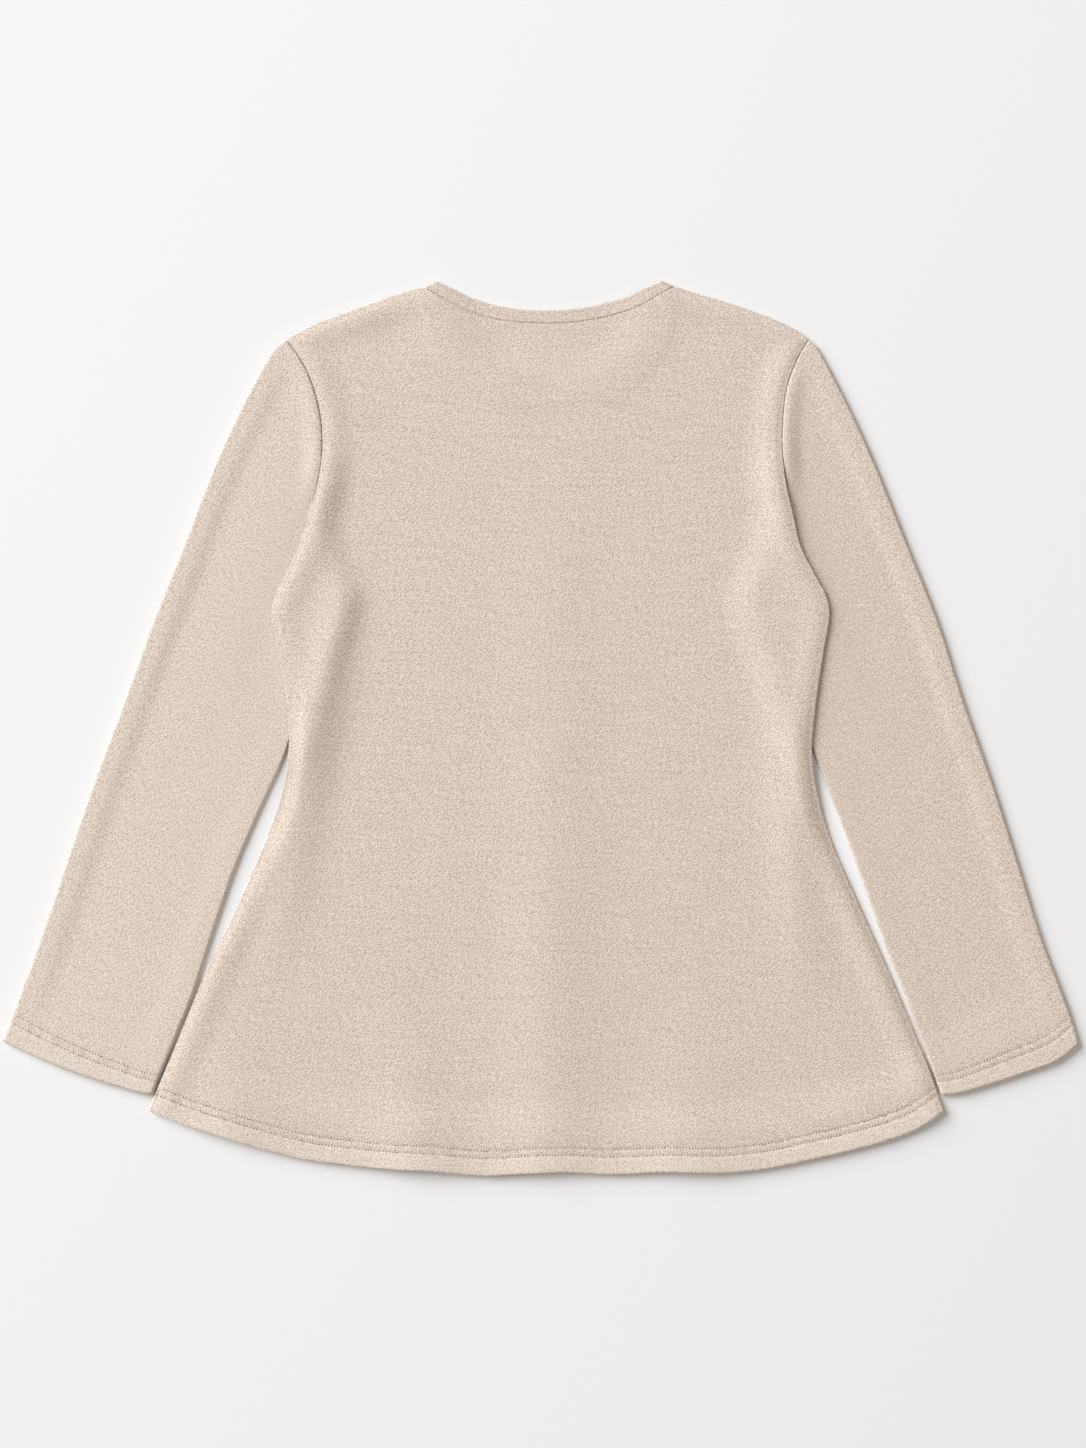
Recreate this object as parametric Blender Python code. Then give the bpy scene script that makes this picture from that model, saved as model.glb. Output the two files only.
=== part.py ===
"""A woman's long-sleeved knitted cardigan, laid out flat on a surface with its back up.

The back panel lies on the two fronts, and the upper ends of the sleeves are folded in under the body.
Sizes are in millimetres until a mesh is written, which is in metres. A place on the garment is given
across, to the right of the centre back as seen from above, and down, from the tips of the neckband
towards the hem. Heights are above the surface that the garment lies on.
"""

import math
from typing import NamedTuple

import bmesh
import bpy
import numpy as np

# Cloth
MM = 0.001
CLOTH = 1.2
BAND = 1.7
SEAM_GAP = 0.3
EDGE_ROUND = 0.4
SHARP_DEGREES = 50
KNIT_COLOUR = (0.69, 0.59, 0.50, 1.0)
KNIT_ROUGHNESS = 0.95

# Garment, as laid
CENTRE_ACROSS = -6.6
CENTRE_DOWN = 348.7
HEM_DEPTH = 20.0
HEM_CURL = 0.8
CENTRE_FRONT_GAP = 0.6
CENTRE_FRONT_HEM = 694.8
FRONT_SHOULDER_SHARE = 0.52
BODY_LIFT = 3.8
SLEEVE_UNDER = 3.2

# Where the body lies on the folded upper end of a sleeve
LIFT_STARTS = 115.0
LIFT_FULL = 170.0
LIFT_ENDS = 368.0
LIFT_GONE = 438.0
LIFT_MARGIN = {"left": 4.0, "right": 6.0}
LIFT_SLOPE = 30.0
UNDERARM_FOLD = 178.0
ARMHOLE_STEP = 4
LEVELS_UNDER_BODY = 8
PRESS_STARTS = 158.0
PRESS_RISE = 20.0
PRESS_END = 50.0
PRESS_MARGIN = 2.0
PRESS_WIDTH = 18.0

# How the cloth stands up beside an edge
ROLL_RISE = 7.0
ROLL_STARTS = 9.0
ROLL_FALL = 17.0
SLEEVE_ROLL_STARTS = 11.0
SLEEVE_ROLL_FALL = 16.0
SEAM_STARTS = 46.0
SEAM_FULL = 100.0
SEAM_ENDS = 120.0
SEAM_GONE = 182.0
SEAM_RISE = 0.8
SEAM_CREST = 3.5
SEAM_FALL = 13.0
PUFF = 0.4
HEM_SLOPE = 34.0
NECK_SAG = 34.0
NECK_SAG_STARTS = 11.0
BAND_MARGIN = 2.0
BAND_BLEND = 6.0

# Grid lines of the panels and sleeves
EDGE_LINES = (0.0, 4.0, 10.0, 20.0, 35.0)
HEM_LINES = (60.0, 40.0, HEM_DEPTH + 6.0, HEM_DEPTH + 3.0, HEM_DEPTH, 0.0)
SLEEVE_TOP_LINES = (0.0, 6.0, 16.0)
SLEEVE_EDGE_LINES = (10.0, 22.0)
EDGE_TURNS = (0.0, 45.0, 90.0)
FOLD_TURNS = (30.0, 60.0, 90.0, 120.0, 150.0)
BODY_ROW_GROWTH = 1.8
SLEEVE_ROW_GROWTH = 1.3
BODY_ROWS = 26
SLEEVE_ROWS = 13
SHOULDER_LINES = 6
NECK_LINES = 14
FRONT_NECK_LINES = 9
SLEEVE_MIDDLE_LINES = 2
LENGTH_SHARES = (0.0, 0.25, 0.5, 0.75, 1.0)


class Side(NamedTuple):
    """A level of the body: where its left and right edges are."""

    down: float
    left: float
    right: float


class Slope(NamedTuple):
    """A step along the shoulders: how far down each one is."""

    out: float
    left: float
    right: float


class Spot(NamedTuple):
    """One point of an outline."""

    across: float
    down: float


class Pair(NamedTuple):
    """A line across the neckband, from its seam to its free edge."""

    seam_across: float
    seam_down: float
    free_across: float
    free_down: float


class Cuff(NamedTuple):
    """A step along the cuffs' hems, from the outer edge to the underarm fold."""

    left_across: float
    left_down: float
    right_across: float
    right_down: float


class Roll(NamedTuple):
    """How high the back stands beside its edges and at their seams."""

    down: float
    left_roll: float
    left_seam: float
    right_roll: float
    right_seam: float


class Crown(NamedTuple):
    """Height of a sleeve at its outer edge, middle and underarm fold, along its length."""

    along: float
    outer: float
    middle: float
    inner: float


class Fold(NamedTuple):
    """A soft ridge of the back panel: its line, its half width and its height, start to end."""

    start: Spot
    middle: Spot
    end: Spot
    start_width: float
    end_width: float
    start_height: float
    middle_height: float
    end_height: float


BODY_SIDES = (
    Side(down=46, left=-204.6, right=202.2),
    Side(down=60, left=-194.2, right=193.8),
    Side(down=80, left=-184.5, right=185.9),
    Side(down=105, left=-178.0, right=182.2),
    Side(down=133, left=-176.7, right=181.6),
    Side(down=160, left=-180.4, right=184.8),
    Side(down=180, left=-186.3, right=189.4),
    Side(down=206, left=-193.8, right=195.4),
    Side(down=229, left=-204.6, right=206.7),
    Side(down=247, left=-213.6, right=216.2),
    Side(down=261, left=-215.9, right=218.1),
    Side(down=287, left=-211.4, right=214.0),
    Side(down=317, left=-205.3, right=209.3),
    Side(down=341, left=-203.1, right=206.3),
    Side(down=364, left=-202.6, right=204.5),
    Side(down=394, left=-206.7, right=207.7),
    Side(down=436, left=-220.7, right=219.6),
    Side(down=483, left=-241.0, right=239.9),
    Side(down=545, left=-269.9, right=267.4),
    Side(down=600, left=-292.6, right=290.2),
    Side(down=628.5, left=-304.4, right=301.0),
    Side(down=647, left=-312.0, right=307.3),
)
SHOULDERS = (
    Slope(out=98.0, left=5.2, right=4.6),
    Slope(out=117, left=10.4, right=10.6),
    Slope(out=148, left=21.3, right=20.0),
    Slope(out=180, left=33.0, right=32.3),
    Slope(out=195, left=40.3, right=40.6),
)
HEM_EDGE = (
    Spot(across=-302, down=650.5),
    Spot(across=-280, down=659.1),
    Spot(across=-258, down=665.8),
    Spot(across=-225, down=675.9),
    Spot(across=-193, down=684.1),
    Spot(across=-160, down=688.7),
    Spot(across=-127, down=691.9),
    Spot(across=-94, down=693.4),
    Spot(across=-51, down=697.3),
    Spot(across=-15, down=695.2),
    Spot(across=15, down=694.4),
    Spot(across=48, down=696.3),
    Spot(across=91, down=694.4),
    Spot(across=135, down=695.0),
    Spot(across=168, down=692.1),
    Spot(across=200, down=685.6),
    Spot(across=233, down=678.2),
    Spot(across=266, down=669.0),
    Spot(across=288, down=660.2),
)
BACK_BAND = (
    Pair(seam_across=-95.7, seam_down=6.0, free_across=-86.6, free_down=1.6),
    Pair(seam_across=-83.5, seam_down=12.8, free_across=-77.2, free_down=5.7),
    Pair(seam_across=-67.5, seam_down=21.5, free_across=-61.6, free_down=12.9),
    Pair(seam_across=-50.7, seam_down=27.7, free_across=-46.0, free_down=17.9),
    Pair(seam_across=-25.0, seam_down=31.9, free_across=-22.6, free_down=22.2),
    Pair(seam_across=0.8, seam_down=33.0, free_across=0.0, free_down=22.9),
    Pair(seam_across=26.5, seam_down=31.2, free_across=24.2, free_down=21.1),
    Pair(seam_across=48.4, seam_down=26.9, free_across=43.7, free_down=17.2),
    Pair(seam_across=67.9, seam_down=20.7, free_across=61.6, free_down=11.7),
    Pair(seam_across=82.7, seam_down=12.7, free_across=74.9, free_down=5.6),
    Pair(seam_across=95.6, seam_down=5.5, free_across=86.2, free_down=1.4),
)
FRONT_BAND = (
    Pair(seam_across=93.5, seam_down=28, free_across=84.0, free_down=27),
    Pair(seam_across=85, seam_down=54, free_across=76.2, free_down=49),
    Pair(seam_across=67, seam_down=76, free_across=60.5, free_down=68.2),
    Pair(seam_across=41, seam_down=90, free_across=37.5, free_down=80.5),
    Pair(seam_across=CENTRE_FRONT_GAP / 2, seam_down=95, free_across=CENTRE_FRONT_GAP / 2, free_down=85),
)
SLEEVE_OUTER = (
    Side(down=52, left=-213.0, right=208.9),
    Side(down=62, left=-220.0, right=214.8),
    Side(down=93, left=-237.1, right=230.9),
    Side(down=124, left=-251.9, right=245.7),
    Side(down=155, left=-265.2, right=259.0),
    Side(down=202, left=-283.2, right=277.7),
    Side(down=264, left=-308.0, right=302.6),
    Side(down=327, left=-330.8, right=322.9),
    Side(down=389, left=-354.1, right=344.8),
    Side(down=452, left=-375.9, right=365.0),
    Side(down=514, left=-397.0, right=384.5),
    Side(down=571, left=-418.0, right=405.9),
)
SLEEVE_END = (
    Side(down=218, left=-180.2, right=181.0),
    Side(down=249, left=-168.5, right=168.5),
)
SLEEVE_INNER = (
    Side(down=249, left=-168.5, right=168.5),
    Side(down=288, left=-180.2, right=180.2),
    Side(down=327, left=-191.9, right=192.7),
    Side(down=362, left=-203.6, right=204.4),
    Side(down=382, left=-211.4, right=212.2),
    Side(down=407, left=-223.0, right=221.8),
    Side(down=433, left=-234.6, right=231.7),
    Side(down=463, left=-246.7, right=242.5),
    Side(down=494, left=-257.4, right=253.6),
    Side(down=526, left=-268.0, right=265.0),
    Side(down=556, left=-277.6, right=277.4),
    Side(down=587, left=-290.0, right=288.2),
    Side(down=616, left=-301.6, right=298.9),
)
CUFFS = (
    Cuff(left_across=-426.3, left_down=592, right_across=413.0, right_down=594),
    Cuff(left_across=-398.3, left_down=605.3, right_across=396.0, right_down=607.6),
    Cuff(left_across=-368.6, left_down=617.3, right_across=367.4, right_down=618.4),
    Cuff(left_across=-338.7, left_down=627, right_across=340, right_down=627.4),
    Cuff(left_across=-318, left_down=632.8, right_across=318, right_down=633.4),
    Cuff(left_across=-308.8, left_down=633.6, right_across=305.4, right_down=634.2),
)
EDGE_ROLLS = (
    Roll(down=5, left_roll=0.6, left_seam=0.0, right_roll=0.6, right_seam=0.0),
    Roll(down=20, left_roll=1.4, left_seam=0.0, right_roll=1.4, right_seam=0.0),
    Roll(down=46, left_roll=1.0, left_seam=0.4, right_roll=1.0, right_seam=0.8),
    Roll(down=80, left_roll=0.7, left_seam=1.3, right_roll=0.9, right_seam=2.2),
    Roll(down=140, left_roll=0.7, left_seam=1.3, right_roll=0.9, right_seam=2.2),
    Roll(down=180, left_roll=1.2, left_seam=0.6, right_roll=1.2, right_seam=0.8),
    Roll(down=240, left_roll=1.2, left_seam=0.0, right_roll=0.9, right_seam=0.2),
    Roll(down=300, left_roll=0.3, left_seam=0.0, right_roll=0.8, right_seam=0.2),
    Roll(down=365, left_roll=0.4, left_seam=0.0, right_roll=1.4, right_seam=0.0),
    Roll(down=430, left_roll=1.0, left_seam=0.0, right_roll=1.8, right_seam=0.0),
    Roll(down=520, left_roll=1.6, left_seam=0.0, right_roll=1.8, right_seam=0.0),
    Roll(down=600, left_roll=1.4, left_seam=0.0, right_roll=1.6, right_seam=0.0),
    Roll(down=647, left_roll=0.6, left_seam=0.0, right_roll=0.8, right_seam=0.0),
)
SLEEVE_CROWNS = (
    Crown(along=0.0, outer=3.4, middle=3.6, inner=3.2),
    Crown(along=0.06, outer=4.4, middle=3.3, inner=3.2),
    Crown(along=0.3, outer=4.6, middle=3.1, inner=3.2),
    Crown(along=0.5, outer=4.6, middle=3.1, inner=3.6),
    Crown(along=0.88, outer=4.6, middle=3.4, inner=4.0),
    Crown(along=0.95, outer=5.4, middle=5.2, inner=5.4),
    Crown(along=1.0, outer=5.4, middle=5.2, inner=5.4),
)
FOLDS = {
    "left flank": Fold(Spot(-158, 250), Spot(-182, 360), Spot(-222, 560), 10, 13, 2.0, 5.2, 0),
    "right flank": Fold(Spot(174, 290), Spot(190, 415), Spot(200, 570), 11, 14, 0, 4.0, 0),
    "centre back": Fold(Spot(0, 90), Spot(2, 380), Spot(-2, 697), 26, 22, 0, 1.6, 3.2),
    "left hem wave": Fold(Spot(-118, 560), Spot(-110, 630), Spot(-102, 696), 20, 20, 0, 1.8, 4.0),
    "left corner wave": Fold(Spot(-240, 540), Spot(-246, 610), Spot(-252, 668), 20, 22, 0, 1.2, 2.8),
    "right hem wave": Fold(Spot(112, 560), Spot(112, 630), Spot(110, 695), 22, 24, 0, 1.2, 3.0),
}


def columns(table, *names) -> np.ndarray:
    """The named columns of a table, side by side."""
    return np.array([[getattr(row, name) for name in names] for row in table], float)


def smooth_step(value) -> np.ndarray:
    """0 below 0, 1 above 1, and a soft S between."""
    inside = np.clip(value, 0.0, 1.0)
    return inside * inside * (3.0 - 2.0 * inside)


def length_fractions(line: np.ndarray) -> np.ndarray:
    """How far along a line each of its points is, from 0 to 1."""
    steps = np.linalg.norm(np.diff(line, axis=0), axis=1)
    so_far = np.concatenate([[0.0], np.cumsum(steps)])
    return so_far / so_far[-1]


class Curve:
    """A line through points, read by the fraction of its length; smooth unless it is a polyline."""

    STEPS = 8

    def __init__(self, points, smooth: bool = True):
        knots = np.asarray(points, float)
        self.line = self.rounded(knots) if smooth else knots
        self.fractions = length_fractions(self.line)

    @classmethod
    def rounded(cls, knots: np.ndarray) -> np.ndarray:
        """Cubic pieces between the knots, with slopes taken from each knot's neighbours."""
        spans = np.sqrt(np.linalg.norm(np.diff(knots, axis=0), axis=1))[:, None]
        rates = np.diff(knots, axis=0) / spans
        slopes = np.empty_like(knots)
        slopes[1:-1] = (rates[:-1] * spans[1:] + rates[1:] * spans[:-1]) / (spans[:-1] + spans[1:])
        slopes[0] = rates[0]
        slopes[-1] = rates[-1]
        pieces = [knots[:1]]
        for first, last, leave, arrive, span in zip(knots, knots[1:], slopes, slopes[1:], spans):
            t = np.linspace(0.0, 1.0, cls.STEPS + 1)[1:, None]
            start = 2 * t**3 - 3 * t**2 + 1
            pieces.append(
                start * first
                + (1 - start) * last
                + (t**3 - 2 * t**2 + t) * span * leave
                + (t**3 - t**2) * span * arrive
            )
        return np.concatenate(pieces)

    def at(self, fraction) -> np.ndarray:
        """The points at these fractions of the length."""
        return np.stack([np.interp(fraction, self.fractions, axis) for axis in self.line.T], axis=-1)


class Nearest:
    """The place on a line that is nearest to each of some points."""

    def __init__(self, points: np.ndarray, line: np.ndarray):
        start = line[:-1]
        step = np.diff(line, axis=0)
        offset = points[..., None, :] - start
        share = np.clip((offset * step).sum(-1) / (step * step).sum(-1), 0.0, 1.0)
        apart = offset - share[..., None] * step
        distance = np.linalg.norm(apart, axis=-1)
        best = distance.argmin(-1)
        self.distance = np.take_along_axis(distance, best[..., None], -1)[..., 0]
        self.share = np.take_along_axis(share, best[..., None], -1)[..., 0]
        self.place = start[best] + self.share[..., None] * step[best]
        self.fraction = (best + self.share) / len(step)
        away = points - self.place
        self.turn = np.sign(step[best][..., 0] * away[..., 1] - step[best][..., 1] * away[..., 0])


# The outline's curves. Each side's own are under "left" and "right".
SIDES = ("left", "right")
OUTWARD = {"left": -1.0, "right": 1.0}
BODY_EDGE = {side: Curve(columns(BODY_SIDES, side, "down")) for side in SIDES}


def shoulder(side: str) -> Curve:
    """The shoulder edge, from the neck to its tip."""
    steps = columns(SHOULDERS, "out", side) * (OUTWARD[side], 1.0)
    return Curve(np.vstack([steps, BODY_EDGE[side].line[:1]]))


SHOULDER_EDGE = {side: shoulder(side) for side in SIDES}
HEM_CORNERS = {side: BODY_EDGE[side].line[-1:] for side in SIDES}
HEM = Curve(np.vstack([HEM_CORNERS["left"], columns(HEM_EDGE, "across", "down"), HEM_CORNERS["right"]]))
BACK_SEAM = Curve(columns(BACK_BAND, "seam_across", "seam_down"))
BACK_FREE = Curve(columns(BACK_BAND, "free_across", "free_down"))


def front_line(side: str, edge: str) -> Curve:
    """The seam or the free edge of the neckband's front stretch, from the shoulder to the centre front."""
    fold = BACK_BAND[0 if side == "left" else -1]
    start = columns([fold], f"{edge}_across", f"{edge}_down")
    rest = columns(FRONT_BAND, f"{edge}_across", f"{edge}_down") * (OUTWARD[side], 1.0)
    return Curve(np.vstack([start, rest]))


FRONT_SEAM = {side: front_line(side, "seam") for side in SIDES}
FRONT_FREE = {side: front_line(side, "free") for side in SIDES}
NECK_HOLE = np.vstack([FRONT_SEAM["left"].line, FRONT_SEAM["right"].line[::-1]])
BODY_OUTLINE = {side: np.vstack([SHOULDER_EDGE[side].line, BODY_EDGE[side].line[1:]]) for side in SIDES}


def tuck_line(side: str) -> np.ndarray:
    """The rim of a sleeve's hidden end and, below it, its underarm fold."""
    edge = BODY_EDGE[side].line
    armhole = edge[(edge[:, 1] > LIFT_STARTS) & (edge[:, 1] < UNDERARM_FOLD)]
    hidden = columns(SLEEVE_END[:1], side, "down")
    below = columns(SLEEVE_INNER[:LEVELS_UNDER_BODY], side, "down")
    return Curve(np.vstack([armhole[::ARMHOLE_STEP], hidden, below])).line


TUCK_LINE = {side: tuck_line(side) for side in SIDES}


def sleeve_lift(points: np.ndarray) -> np.ndarray:
    """How high the body's underside is held up by the sleeves' folded ends."""
    down = points[..., 1]
    level = smooth_step((down - LIFT_STARTS) / (LIFT_FULL - LIFT_STARTS))
    level = level * (1.0 - smooth_step((down - LIFT_ENDS) / (LIFT_GONE - LIFT_ENDS)))
    reach = np.zeros(points.shape[:-1])
    for side in SIDES:
        near = Nearest(points, TUCK_LINE[side])
        over_sleeve = -OUTWARD[side] * near.turn * near.distance
        reach = np.maximum(reach, smooth_step(1.0 + (over_sleeve + LIFT_MARGIN[side]) / LIFT_SLOPE))
    return BODY_LIFT * level * reach


def neck_support(points: np.ndarray) -> np.ndarray:
    """The thickness of the fronts or of the neckband under the back, and nothing in the neck hole."""
    near = Nearest(points, NECK_HOLE)
    inside = -near.turn * near.distance
    band = smooth_step((inside + BAND_MARGIN + BAND_BLEND) / BAND_BLEND)
    hole = smooth_step((inside - NECK_SAG_STARTS) / NECK_SAG)
    return (CLOTH + (BAND - CLOTH) * band) * (1.0 - hole)


def fold_heights(points: np.ndarray) -> np.ndarray:
    """The soft ridges that run down the back."""
    total = np.zeros(points.shape[:-1])
    for fold in FOLDS.values():
        near = Nearest(points, Curve([fold.start, fold.middle, fold.end]).line)
        along = near.fraction
        width = fold.start_width + (fold.end_width - fold.start_width) * along
        height = np.interp(along, (0.0, 0.5, 1.0), (fold.start_height, fold.middle_height, fold.end_height))
        total += height * np.exp(-0.5 * (near.distance / width) ** 2)
    return total


def body_edge(points: np.ndarray):
    """The distance from each point to the nearer edge, how far down that edge it is, and if it is the left one."""
    near = [Nearest(points, BODY_OUTLINE[side]) for side in SIDES]
    left_is_near = near[0].distance < near[1].distance
    distance = np.where(left_is_near, near[0].distance, near[1].distance)
    down = np.where(left_is_near, near[0].place[..., 1], near[1].place[..., 1])
    return distance, down, left_is_near


def beside_edge(down: np.ndarray, left_is_near: np.ndarray, what: str) -> np.ndarray:
    """How high the back stands in its roll or at its seam, this far down the nearer edge."""
    left, right = (np.interp(down, *columns(EDGE_ROLLS, "down", f"{side}_{what}").T) for side in SIDES)
    return np.where(left_is_near, left, right)


def hem_distance(points: np.ndarray) -> np.ndarray:
    """How far above the hem each point is."""
    return Nearest(points, HEM.line).distance


def back_surface(points: np.ndarray) -> np.ndarray:
    """The height of the back's upper side."""
    distance, down, left_is_near = body_edge(points)
    fall = 1.0 - smooth_step((distance - ROLL_STARTS) / ROLL_FALL)
    roll = beside_edge(down, left_is_near, "roll") * smooth_step(distance / ROLL_RISE) * fall
    at_edge = 1.0 - smooth_step(distance / (ROLL_STARTS + ROLL_FALL))
    seam = beside_edge(down, left_is_near, "seam") * at_edge
    inner = smooth_step(distance / (2 * ROLL_RISE))
    above = hem_distance(points)
    hem = 2 * CLOTH * (1.0 - smooth_step((above - HEM_LINES[2]) / HEM_SLOPE))
    hem = hem + HEM_CURL * (1.0 - smooth_step(above / HEM_DEPTH))
    base = sleeve_lift(points) + neck_support(points) + SEAM_GAP + CLOTH
    return base + roll + seam + hem + inner * (PUFF + fold_heights(points))


def doubled(points: np.ndarray, starts: float) -> np.ndarray:
    """1 where the hem is turned up, 0 above it, with a short ramp between."""
    return np.clip((starts - hem_distance(points)) / (HEM_LINES[3] - HEM_LINES[4]), 0.0, 1.0)


def graded(near, far, count: int, growth: float) -> np.ndarray:
    """Grid lines between near and far, the last space as many times the first as the growth says."""
    spaces = np.linspace(1.0, growth, count + 1)
    shares = np.cumsum(spaces)[:-1] / spaces.sum()
    return near + (far - near) * shares


def rows_down(length: np.ndarray, count: int, top_lines, growth: float) -> np.ndarray:
    """The rows of a grid as fractions of its length: fine at the top and the hem, in millimetres there."""
    length = np.asarray(length, float)[:, None]
    top = np.array(top_lines) / length
    hem = 1.0 - np.array(HEM_LINES) / length
    return np.hstack([top, graded(top[:, -1:], hem[:, :1], count, growth), hem])


def panel_patch(left: Curve, right: Curve, top, bottom, u: np.ndarray, v: np.ndarray) -> np.ndarray:
    """Points of a panel between four edges, at u across it and v down it."""
    u_part = u[..., None]
    v_part = v[..., None]
    middle = (1 - v_part) * top(u) + v_part * bottom(u)
    left_line = (1 - v_part) * top(0.0) + v_part * bottom(0.0)
    right_line = (1 - v_part) * top(1.0) + v_part * bottom(1.0)
    return middle + (1 - u_part) ** 2 * (left.at(v) - left_line) + u_part**2 * (right.at(v) - right_line)


def sleeve_patch(outer: Curve, inner: Curve, top, bottom, u: np.ndarray, v: np.ndarray) -> np.ndarray:
    """Points of a sleeve between its long edges, drawn to the shape of its two ends."""
    u_part = u[..., None]
    v_part = v[..., None]
    middle = (1 - u_part) * outer.at(v) + u_part * inner.at(v)
    top_line = (1 - u_part) * outer.at(0.0) + u_part * inner.at(0.0)
    bottom_line = (1 - u_part) * outer.at(1.0) + u_part * inner.at(1.0)
    return middle + (1 - v_part) ** 2 * (top(u) - top_line) + v_part**2 * (bottom(u) - bottom_line)


def offset_line(points: np.ndarray, amount: float) -> np.ndarray:
    """A line moved sideways, to the right of its direction as seen from above."""
    along = np.gradient(points, axis=0)
    along /= np.linalg.norm(along, axis=1)[:, None]
    return points + amount * np.stack([-along[:, 1], along[:, 0]], axis=1)


def joined(lines, breaks):
    """One edge made of several lines that follow each other, as a function of the share across it."""

    def at(share):
        share = np.asarray(share, float)
        place = np.zeros(share.shape + (2,))
        for line, first, last in zip(lines, breaks, breaks[1:]):
            here = (share >= first) & (share <= last)
            place[here] = line.at((share[here] - first) / (last - first))
        return place

    return at


class Body:
    """A closed mesh made of grids of corners, in metres."""

    def __init__(self, name: str):
        self.name = name
        self.mesh = bmesh.new()
        self.corners = []

    def add(self, plan: np.ndarray, height: np.ndarray) -> np.ndarray:
        """Adds corners and gives their numbers, in the same shape as the grid."""
        height = np.broadcast_to(height, plan.shape[:-1])
        first = len(self.corners)
        for (across, down), up in zip(plan.reshape(-1, 2), height.reshape(-1)):
            self.corners.append(self.mesh.verts.new((across * MM, -down * MM, up * MM)))
        return np.arange(first, len(self.corners)).reshape(plan.shape[:-1])

    def face(self, numbers) -> None:
        """One face through these corners."""
        self.mesh.faces.new([self.corners[number] for number in numbers])

    def skin(self, grid: np.ndarray) -> None:
        """Faces between the neighbouring corners of a grid."""
        for row, following in zip(grid, grid[1:]):
            for quad in zip(row, row[1:], following[1:], following):
                self.face(quad)

    def close(self, parent) -> None:
        """Turns the faces outward and makes the object."""
        bmesh.ops.recalc_face_normals(self.mesh, faces=self.mesh.faces)
        mesh = bpy.data.meshes.new(self.name)
        self.mesh.to_mesh(mesh)
        self.mesh.free()
        mesh.shade_smooth()
        mesh.set_sharp_from_angle(angle=math.radians(SHARP_DEGREES))
        mesh.materials.append(knit(self.name))
        piece = bpy.data.objects.new(self.name, mesh)
        piece.parent = parent
        bpy.context.collection.objects.link(piece)


def knit(name: str):
    """The cardigan's brushed oatmeal knit."""
    material = bpy.data.materials.new(f"{name}_knit")
    material.use_nodes = True
    shader = material.node_tree.nodes["Principled BSDF"]
    shader.inputs["Base Color"].default_value = KNIT_COLOUR
    shader.inputs["Roughness"].default_value = KNIT_ROUGHNESS
    shader.inputs["Metallic"].default_value = 0.0
    return material


def ring(values: np.ndarray) -> np.ndarray:
    """The border of a grid, once round."""
    return np.concatenate([values[0, :-1], values[:-1, -1], values[-1, :0:-1], values[:0:-1, 0]])


def looped(*lines) -> np.ndarray:
    """Closed lines side by side, as a grid whose last column is its first."""
    return np.stack([np.append(line, line[0]) for line in lines])


def inset(plan: np.ndarray) -> np.ndarray:
    """A grid whose outer lines are moved in, which rounds the edge of the cloth."""
    moved = plan.copy()
    for edge, inner in ((0, 1), (-1, -2)):
        inward = plan[inner] - plan[edge]
        moved[edge] += EDGE_ROUND * inward / np.linalg.norm(inward, axis=-1)[:, None]
        inward = plan[:, inner] - plan[:, edge]
        moved[:, edge] += EDGE_ROUND * inward / np.linalg.norm(inward, axis=-1)[:, None]
    return moved


def panel(name: str, plan: np.ndarray, top: np.ndarray, bottom: np.ndarray, parent) -> None:
    """A sheet of cloth over a grid in plan, with rounded edges."""
    body = Body(name)
    rounded = inset(plan)
    upper = body.add(rounded, top)
    lower = body.add(rounded, bottom)
    rim = body.add(ring(plan), (ring(top) + ring(bottom)) / 2)
    body.skin(upper)
    body.skin(lower)
    body.skin(looped(ring(upper), rim, ring(lower)))
    body.close(parent)


def body_rows(top_points: np.ndarray, hem_points: np.ndarray) -> np.ndarray:
    """The rows of a body panel, for columns that run from these top points to these hem points."""
    return rows_down(np.linalg.norm(hem_points - top_points, axis=-1), BODY_ROWS, EDGE_LINES, BODY_ROW_GROWTH)


def side_rows(side: str) -> np.ndarray:
    """The fractions of the body's side edge at which the panels have their rows."""
    line = BODY_EDGE[side].line
    return body_rows(line[:1], line[-1:])[0]


def between(first, last, count: int) -> np.ndarray:
    """Evenly spaced lines between two lines, neither of them included."""
    shares = np.arange(1, count + 1)[:, None] / (count + 1)
    return first + (last - first) * shares


def edge_columns(width: np.ndarray, inner_share: float) -> np.ndarray:
    """Columns from a side edge in to the line under the neck point: fine beside the edge."""
    edge = np.array(EDGE_LINES)[:, None] / width
    return np.vstack([edge, between(edge[-1], inner_share, SHOULDER_LINES)])


def neck_edge(seam: Curve, amount: float, notches) -> Curve:
    """A panel's edge along the neckband's seam, just clear of it, between the notches at its ends."""
    line = offset_line(seam.line, amount)
    line[0], line[-1] = notches
    return Curve(line, smooth=False)


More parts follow.
